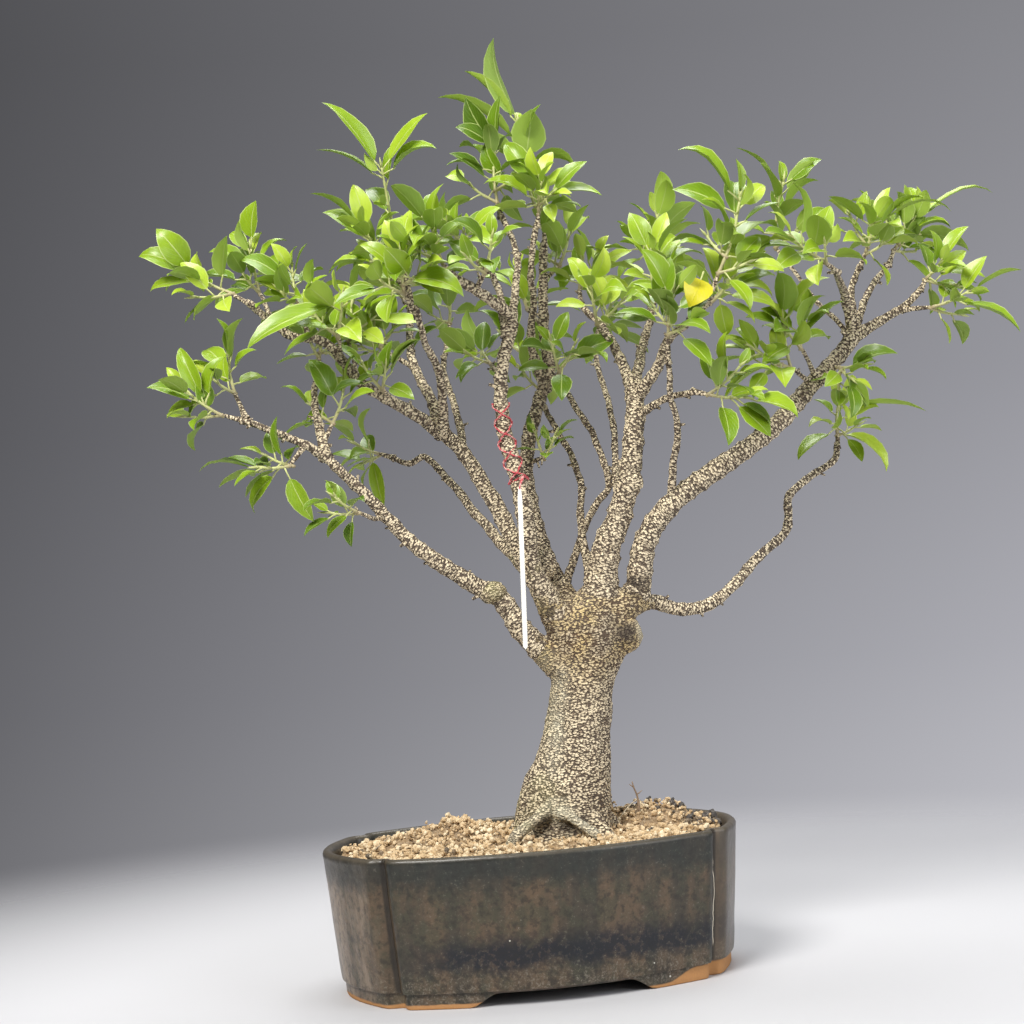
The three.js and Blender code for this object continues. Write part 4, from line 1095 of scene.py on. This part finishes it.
def make_crown():
    """The trunk with its roots, knobs and the feet of the thick limbs, grown into one skin."""
    bm = bmesh.new()
    run = smooth_curve([*TRUNK, CROWN_TOP], 4)
    spots = [in_tree(p) for p in run]

    def trunk_radius(i, angle):
        flute = 0.045 * math.sin(3 * angle + 0.02 * run[i].z) + 0.03 * math.sin(5 * angle + 1.3)
        return run[i].w * (1 + flute)

    add_tube(bm, spots, trunk_radius, 28)
    for root in ROOTS:
        spots, sizes = limb_run(root, 3)
        add_tube(bm, spots, lambda i, angle, sizes=sizes: sizes[i], 10)
    for limb in LIMBS.values():
        thick, _, points = limb
        if thick < THICK or len(points) < 4 or points[0][2] > STUB_TOP:
            continue
        spots, sizes = limb_run(limb, STUB_STEP)
        count = min(round(STUB / STUB_STEP), len(spots) - 2)
        swell = [sizes[i] * (0.93 + 0.55 * hump(STUB_STEP * i, 30)) for i in range(count + 1)]
        add_tube(bm, spots[: count + 1], lambda i, angle, swell=swell: swell[i], 12)
    for middle, reach in KNOBS:
        shape = Matrix.Translation(in_tree(middle)) @ Matrix.Diagonal((*reach, 1))
        bmesh.ops.create_icosphere(bm, subdivisions=3, radius=1, matrix=shape)
    outwards(bm)
    crown = changed(bm, "REMESH", mode="VOXEL", voxel_size=VOXEL)
    axes = {"use_axis_x": True, "use_axis_y": True, "use_axis_z": True}
    for _ in range(SMOOTHINGS):
        bmesh.ops.smooth_vert(crown, verts=crown.verts, factor=0.5, **axes)
    return crown


def rough_bark(bm):
    """Lumps, creases and rows of raised corky flecks on the crown."""
    bm.normal_update()
    moved = []
    for vert in bm.verts:
        p = vert.co
        swell = 1.3 * lumps(p, 22, 2)
        crease = -1.1 * max(0, 0.25 - abs(lumps((p.x, p.y, p.z * 0.7), 13, 2)))
        rows = 0.45 * lumps((p.x, p.y, p.z * 2.2), 4.5, 2)
        moved.append(p + vert.normal * (swell + 2.2 * crease + rows))
    for vert, spot in zip(bm.verts, moved):
        vert.co = spot


def make_wood():
    rng = random.Random(SEEDS["wood"])
    bm = make_crown()
    rough_bark(bm)
    grain = bm.verts.layers.float_vector.new("grain")
    damp, rust, pale, scar, dark = [bm.verts.layers.float.new(mark) for mark in BARK_MARKS]
    back = TREE.inverted()
    ridge_root, loop_root = [smooth_curve(points, 4) for _, _, points in ROOTS[:2]]
    for vert in bm.verts:
        vert[grain] = vert.co * MM
        place = back @ vert.co
        vert[damp] = held((10 - place.x) / 40)
        vert[rust] = hump(place.z - 146, 34)
        streak = hump(place.x - 0.17 * place.z + 12, 6) * (place.y < 0)
        vert[pale] = streak * hump(place.z - 84, 38, 4) * (0.6 + 0.4 * lumps(place, 6))
        if place.z < 30 and place.y < -20:
            for root, share, reach in ((loop_root, 0.75, 7.5), (ridge_root, 0.4, 8)):
                near = min((place - spot).length for spot in root)
                vert[pale] = max(vert[pale], share * hump(near, reach, 4))
        cut = Vector(((place.x - 69) / 6, (place.y + 9) / 9, (place.z - 143) / 11)).length
        nub = (place - NUB).length
        vert[scar] = max(hump(cut, 1, 4), 0.7 * hump(nub, 9, 4))
        for knot, size in KNOTS:
            vert[dark] = max(vert[dark], hump((place - Vector(knot)).length, size, 4))
    for limb in LIMBS.values():
        add_limb(bm, grain, rng, limb, 14 if limb[0] > THICK else 10)
    for twig, *_ in SHOOTS.values():
        middle = lerp(Vector(twig[0]), Vector(twig[1]), 0.5)
        add_limb(bm, grain, rng, (*TWIG_RADII, [twig[0], middle, *twig[1:]]), 8)
    finished(bm, "trunk_and_limbs", bark_look(), "bark", ["trunk_and_branches"])


def add_limb(bm, grain, rng, limb, sides):
    """A limb with a swollen foot, uneven thickness and a knuckle at each old leaf."""
    spots, sizes = limb_run(limb, LIMB_STEP)
    step = (spots[1] - spots[0]).length
    shift = Vector([rng.random() for _ in range(3)])
    first = sizes[0]
    knuckles = []
    at = rng.uniform(6, 14)
    while at < step * len(spots):
        knuckles.append(at)
        at += rng.uniform(7, 20)
    for i, spot in enumerate(spots):
        one, two = [lumps((i * step, row, shift.x * 90), 16) for row in (7, 50)]
        spots[i] = spot + Vector((one, two, 0.6 * one)) * min(i * step / 25, 1) * 1.1

    def radius(i, angle):
        s = i * step
        collar = 1 + 0.5 * math.exp(-s / (1.5 * first))
        bulge = 0.0
        for knuckle in knuckles:
            near = abs(s - knuckle)
            if near < 6:
                bulge += 0.16 * hump(near, 2)
        round_it = (6 * math.cos(angle), 6 * math.sin(angle), s + shift.x * 300)
        rough = 0.10 * lumps(round_it, 5, 2)
        end = 0.6 if i == len(spots) - 1 else 1
        return sizes[i] * (collar + bulge + rough) * end

    def mark(vert, i, angle, reach):
        across = (math.cos(angle) * reach, math.sin(angle) * reach)
        vert[grain] = Vector((*across, i * step)) * MM + shift

    add_tube(bm, spots, radius, sides, mark)
    frames = frames_along(spots)
    for knuckle in knuckles:
        i = min(round(knuckle / step), len(spots) - 2)
        if rng.random() < SPUR_CHANCE and i > 3:
            add_spur(bm, grain, rng, spots[i], frames[i], sizes[i])


def add_spur(bm, grain, rng, spot, frame, size):
    """A short stub where a twig broke off."""
    tangent, side, other = frame
    angle = rng.uniform(0, 6.28)
    out = side * math.cos(angle) + other * math.sin(angle) + tangent * rng.uniform(0.2, 0.9)
    out.normalize()
    reach = size + rng.uniform(1.5, 5.5)
    thick = min(size * 0.55, rng.uniform(0.9, 1.5))
    run = [spot + out * size * 0.5, spot + out * lerp(size, reach, 0.5), spot + out * reach]

    def mark(vert, i, around, wide):
        vert[grain] = Vector((wide * math.cos(around), wide * math.sin(around), i * 2)) * MM

    add_tube(bm, run, lambda i, around: thick * (1.3, 1, 0.8)[i], 6, mark)


# ---- shoots and leaves ----
BLADE_COLUMNS = 4
BLADE_STEPS = 7
STEM_RADII = (1.25, 0.75)
LEAF_REACH = 8
LEAF_WIDTH = (0.37, 0.49)
STEM_STEP = 3
SHOOT_MIDDLE = (20, 0, 260)
CROWN_MIDDLE = (20, 0, 250)


def add_blade(bm, layers, rng, foot, aim, face, length, width, shade, age):
    """One leaf as a thin closed shell: an upper and a lower skin that share their edge."""
    tint, under, old = layers
    side = face.cross(aim).normalized()
    swell = rng.uniform(0.66, 0.9)
    taper = rng.uniform(0.92, 1.2)
    widest = swell / (swell + taper)
    peak = widest**swell * (1 - widest) ** taper
    droop = rng.uniform(0.15, 0.6)
    hook = rng.uniform(0.2, 1.1)
    rise = droop / 2 + hook / 4
    aim, face = (aim + face * rise).normalized(), (face - aim * rise).normalized()
    fold = rng.uniform(0.12, 0.5)
    wave = rng.uniform(0.2, 0.9)
    phase = rng.uniform(0, 6.28)
    sweep = rng.uniform(-0.12, 0.12)
    made = []
    for lower in (0, 1):
        grid = bmesh.ops.create_grid(
            bm, x_segments=BLADE_COLUMNS, y_segments=BLADE_STEPS, size=0.5, calc_uvs=True
        )["verts"]
        skin = faces_of(grid)
        for one in skin:
            one[tint] = shade
            one[under] = lower
            one[old] = age
        if lower:
            bmesh.ops.reverse_faces(bm, faces=list(skin))
        for vert in grid:
            u = vert.co.x * 2
            t = vert.co.y + 0.5
            v = lerp(t, 0.5 - 0.5 * math.cos(math.pi * t), 0.55)
            half = 0.5 * width * max(v, 0) ** swell * max(1 - v, 0) ** taper / peak
            bend = droop * v + hook * v**3
            normal = face * math.cos(bend) + aim * math.sin(bend)
            fall = droop * v**2 / 2 + hook * v**4 / 4
            middle = foot + aim * (length * v * math.cos(0.4 * bend))
            middle += side * (sweep * length * v * v) - face * (length * fall)
            ripple = wave * math.sin(9 * v + phase) * u * u * min(v, 1 - v) * 2
            thin = 0.5 * (1 - u * u) * min(1, 8 * v, 8 * (1 - v))
            lift = abs(u) * half * math.sin(fold) + ripple - lower * thin
            vert.co = middle + side * (u * half * math.cos(fold)) + normal * lift
        made += grid
    bmesh.ops.remove_doubles(bm, verts=made, dist=MERGE)
    for edge in {edge for vert in made if vert.is_valid for edge in vert.link_edges}:
        kinds = {round(f[under]) for f in edge.link_faces}
        edge.smooth = len(kinds) < 2


def add_leaf(bms, layers, rng, foot, tip, width, shade, age=0.0):
    """A leaf on its stalk, from the stem to its tip, its upper side up and away from the crown."""
    length = (tip - foot).length
    aim = (tip - foot).normalized()
    stalk = min(0.22 * length, 9)
    away = foot - in_tree(CROWN_MIDDLE)
    away.z = 0
    face = UP * 0.75 + away.normalized() * rng.uniform(0.1, 0.7) + TOWARDS * rng.uniform(0.0, 0.7)
    face = straight(face + Vector((rng.gauss(0, 0.25), rng.gauss(0, 0.25), 0)), aim)
    start = foot + aim * stalk + face * 0.5
    run = [foot, foot + (aim + face * 0.15) * stalk * 0.5, start, start + aim * 2]
    add_tube(bms["stalk"], run, lambda i, angle: (0.9, 0.62, 0.62, 0.4)[i], 5)
    add_blade(bms["leaf"], layers, rng, start, aim, face, length - stalk, width, shade, age)


def in_reach(spot):
    """Whether a leaf's tip stays inside the room that the plant takes."""
    room = zip(cad_low / MM, spot, cad_high / MM)
    return all(low - LEAF_REACH < part < high + LEAF_REACH for low, part, high in room)


def add_tuft(bms, layers, rng, foot, end, count, size, base):
    """A green shoot from foot to end, with leaves in a spiral up it and a bud. Gives its places."""
    age_layer = bms["stalk"].faces.layers.float["age"]
    axis = (end - foot).normalized()
    bow = straight(UP, axis) if abs(axis.z) < 0.95 else straight(SIDEWAYS, axis)
    length = (end - foot).length
    middle = foot.lerp(end, 0.5) - bow * 0.05 * length
    stem = smooth_curve([foot - axis * 2, middle, end], STEM_STEP)
    last = len(stem) - 1

    def stem_radius(i, angle):
        knuckle = 0.22 if i % 3 == 1 else 0
        return lerp(*STEM_RADII, i / last) * (1 + knuckle)

    made = add_tube(bms["stalk"], stem, stem_radius, 7)
    for one in faces_of(made):
        share = (one.calc_center_median() - foot).dot(axis) / length
        one[age_layer] = held(0.8 - 1.6 * share)
    bud = [end - axis * 0.5, end + axis * 3, end + axis * 8]
    add_tube(bms["stalk"], bud, lambda i, angle: (0.8, 1.0, 0.08)[i], 6)
    sideways = straight(UP if abs(axis.x) > 0.9 else Vector((1, 0, 0)), axis)
    first = rng.uniform(0, 6.28)
    for i in range(count):
        t = (i + 0.5) / count
        lean = lerp(1.5, 0.35, t) * rng.uniform(0.85, 1.1)
        angle = GOLDEN_ANGLE * i + first + rng.uniform(-0.3, 0.3)
        turned = Matrix.Rotation(angle, 3, axis) @ sideways
        start = stem[round(lerp(0.2, 0.97, t) * last)]
        aim = axis * math.cos(lean) + turned * math.sin(lean)
        aim.z -= 0.12
        young = t > 0.82
        reach = size * (0.9 + 0.2 * math.sin(2.4 * i)) * (0.7 if young else 1)
        shade = held(base + rng.uniform(-0.25, 0.25) + (0.3 if young else 0), 0.02)
        tip = start + aim.normalized() * reach
        if in_reach(tip):
            add_leaf(bms, layers, rng, start, tip, reach * rng.uniform(*LEAF_WIDTH), shade)
    return stem


def make_shoot(name, shoot, leaf_material, stalk_material):
    """A leafy shoot: the leaves by rule, its own large leaves, and a side shoot or two."""
    twig, tip, leaves, size, own = shoot
    rng = random.Random(name)
    leaf_bm = bmesh.new()
    leaf_bm.loops.layers.uv.new("blade")
    layers = [leaf_bm.faces.layers.float.new(kind) for kind in ("tint", "under", "age")]
    stalk_bm = bmesh.new()
    stalk_bm.faces.layers.float.new("age")
    bms = {"leaf": leaf_bm, "stalk": stalk_bm}
    foot = in_tree(twig[-1])
    end = in_tree(tip)
    base = rng.uniform(0.25, 0.75)
    x, _, z = twig[-1]
    sparse = x < -90 and z < 350 or -70 < x < 90 and z < 430
    count = round((1.05 if sparse else 1.5) * leaves) + 2
    stem = add_tuft(bms, layers, rng, foot, end, count, size, base)
    last = len(stem) - 1
    axis = (end - foot).normalized()
    for own_foot, own_tip, width, *age in own:
        share = (in_tree(own_foot) - foot).dot(axis) / (end - foot).length
        start = in_tree(own_foot) if age else stem[round(held(share, 0.15, 0.97) * last)]
        shade = held(base + rng.uniform(-0.2, 0.25), 0.05)
        add_leaf(bms, layers, rng, start, in_tree(own_tip), width, shade, *age)
    away = foot - in_tree(SHOOT_MIDDLE)
    away.z = abs(away.z) * 0.5 + 20
    square = straight(axis.cross(away.normalized()) + axis.orthogonal() * 0.1, axis)
    for side in range(1 if sparse else rng.choice((1, 2, 2))):
        swing = (0.75 + 0.35 * rng.random()) * (-1 if side else 1)
        turn = Matrix.Rotation(swing, 3, Matrix.Rotation(rng.uniform(-0.8, 0.8), 3, axis) @ square)
        start = stem[round((0.05 + 0.2 * side) * last)]
        reach = start + (turn @ axis) * rng.uniform(16, 30)
        if in_reach(reach):
            count = rng.choice((4, 5, 6))
            add_tuft(bms, layers, rng, start, reach, count, size * 0.88, base)
    outwards(stalk_bm)
    for face in stalk_bm.faces:
        face.material_index = 1
    poured(stalk_bm, leaf_bm)
    piece = finished(leaf_bm, name + "_leaves", leaf_material, "leaf", ["shoot_" + name])
    piece.data.materials.append(stalk_material)


# ---- tie, strip, stem, screens ----
STRING_TURNS = 2
STRING_REACH = 0.8
STRING_SPAN = (0.39, 0.585)
STRIP_TOP = (-13, -43, 251)
STRIP_FOOT = (-17, -42, 136)
STRIP_WIDTH = 3.5
STRIP_THICKNESS = 0.7
TWINE_STEP = 0.9
PLY_STEPS = 5
PLY_OUT = 0.3
PLY_RADIUS = 0.4
SCREEN_STRAND = 0.7


def make_string():
    """A thin twine wound down the tied limb and crossed back over itself, to the strip's top."""
    bm = bmesh.new()
    bm.faces.layers.float.new("tint")
    x, y, z = STRIP_TOP
    tail = [(x + 3, y + 6, z + 8), (x + 0.5, y - 0.4, z + 1.5), (x, y, z - 2)]
    end = [in_tree(spot) for spot in tail]
    for start in (0, math.pi):
        add_twine(bm, wound(STRING_TURNS, STRING_REACH, start) + end)
        add_twine(bm, wound(-STRING_TURNS, STRING_REACH + 0.5, start) + end)
    outwards(bm)
    finished(bm, "red_twine", twine_look(), "string", ["red_string"])


def wound(turns, off_bark, start):
    """Places down the tied limb, turns times round it; less than none winds the other way."""
    spots, sizes = limb_run(LIMBS["tied_leader"], 1.0)
    frames = frames_along(spots)
    last = len(spots) - 1
    steps = 48
    path = []
    for i in range(steps + 1):
        at = round(lerp(STRING_SPAN[1], STRING_SPAN[0], i / steps) * last)
        tangent = frames[at][0]
        turn = Matrix.Rotation(start - 2 * math.pi * turns * i / steps, 3, tangent)
        out = turn @ straight(SIDEWAYS, tangent)
        path.append(spots[at] + out * (sizes[at] + off_bark))
    return path


def add_twine(bm, path):
    """Two plies twisted round each other along the path."""
    tint = bm.faces.layers.float["tint"]
    centre = smooth_curve(path, TWINE_STEP)
    frames = frames_along(centre)
    for ply in (0, math.pi):
        strand = []
        for i, (spot, (_, side, other)) in enumerate(zip(centre, frames)):
            turn = ply + 2 * math.pi * i / PLY_STEPS
            strand.append(spot + (side * math.cos(turn) + other * math.sin(turn)) * PLY_OUT)
        made = add_tube(bm, strand, lambda i, angle: PLY_RADIUS + 0.04 * math.sin(5 * angle), 7)
        for face in faces_of(made):
            face[tint] = held(3 * lumps(face.calc_center_median(), 2.2, 2), 0.05)


def make_strip():
    """A narrow plastic strip, cut narrower at its top and rounded at its foot."""
    top, foot = in_tree(STRIP_TOP), in_tree(STRIP_FOOT)
    length = (top - foot).length
    down = (foot - top).normalized()
    side = straight(SIDEWAYS, down)
    out = down.cross(side)
    bm = bmesh.new()
    made = bmesh.ops.create_grid(bm, x_segments=6, y_segments=60, size=0.5)["verts"]
    half = STRIP_WIDTH / 2
    for vert in made:
        s = (vert.co.y + 0.5) * length
        rounded = math.sqrt(max(1 - max(1 - s / half, 0) ** 2, 0))
        narrowed = lerp(1, 0.6, held((s - length + 8) / 8))
        bow = 1.2 * math.sin(math.pi * s / length)
        curl = 0.25 * (2 * vert.co.x) ** 2
        across = 2 * vert.co.x * half * max(rounded * narrowed, 0.02)
        vert.co = foot - down * s + side * across + out * (bow + curl)
    outwards(bm)
    bmesh.ops.solidify(bm, geom=bm.faces[:], thickness=STRIP_THICKNESS)
    outwards(bm)
    finished(bm, "white_strip", strip_look(), "strip", ["white_strip"], smooth=False)


def make_dry_stem():
    """A thin dead stem with two broken side twigs, standing in the soil."""
    bm = bmesh.new()
    points = [(58, 12, 11), (57.6, 11.6, 18), (57, 11, 23), (55.2, 10, 28), (54, 9, 33)]
    stem = smooth_curve([in_tree(point) for point in points], 1.5)
    last = len(stem) - 1
    add_tube(bm, stem, lambda i, angle: lerp(1.0, 0.4, i / last) * (1 + 0.2 * (i % 4 == 0)), 8)
    for share, reach in ((0.55, (4, -1, 3)), (0.8, (-3, 1, 2.5))):
        start = stem[round(share * last)]
        side_twig = [start, start + Vector(reach) * 0.6, start + Vector(reach)]
        add_tube(bm, side_twig, lambda i, angle: (0.5, 0.4, 0.2)[i], 6)
    grain = bm.verts.layers.float_vector.new("grain")
    for vert in bm.verts:
        vert[grain] = vert.co * MM
    outwards(bm)
    finished(bm, "dry_stem", dry_look(), "dry_wood", ["dry_stem"])


def dry_look():
    look = Look("dry_wood")
    streak = look.noise(look.place((1, 1, 0.25)), 700, 3)
    brown = look.mix(streak, (0.16, 0.10, 0.065), (0.36, 0.26, 0.17))
    return look.finish(brown, 0.8 + streak * 0.1, streak, 0.0003, 0.6)


def make_screen(name, node, material):
    """Woven plastic mesh over a drain hole, inside the pot."""
    low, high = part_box(node)
    middle = (low + high) / 2 / MM
    reach = (high - low) / MM
    bm = bmesh.new()
    shape = Matrix.Translation(middle) @ Matrix.Diagonal((reach.x, reach.y, 1, 1))
    bmesh.ops.create_grid(bm, x_segments=19, y_segments=17, size=0.5, matrix=shape)
    settings = {"use_replace": True, "use_boundary": True, "use_even_offset": True}
    bmesh.ops.wireframe(bm, faces=bm.faces[:], thickness=SCREEN_STRAND, **settings)
    outwards(bm)
    finished(bm, name, material, "screen_mesh", [node], smooth=False)


def make_floor():
    bm = bmesh.new()
    bmesh.ops.create_grid(bm, x_segments=1, y_segments=1, size=FLOOR_REACH)
    finished(bm, "floor", floor_look(), None)


# ---- the whole object ----
make_camera()
make_floor()
for light in LIGHTS:
    make_light(*light)
make_room()
bpy.context.scene.view_settings.view_transform = "Standard"

clay = crumb_look()
make_pot()
mesh_plastic = screen_look()
for place in ("left", "right"):
    make_screen("screen_" + place, "drain_screen_" + place, mesh_plastic)
make_soil_bed(clay)
make_crumbs(clay)
make_litter()
make_wood()
waxy = leaf_look()
stalk = stalk_look()
for shoot_name, shoot_data in SHOOTS.items():
    make_shoot(shoot_name, shoot_data, waxy, stalk)
make_string()
make_strip()
make_dry_stem()
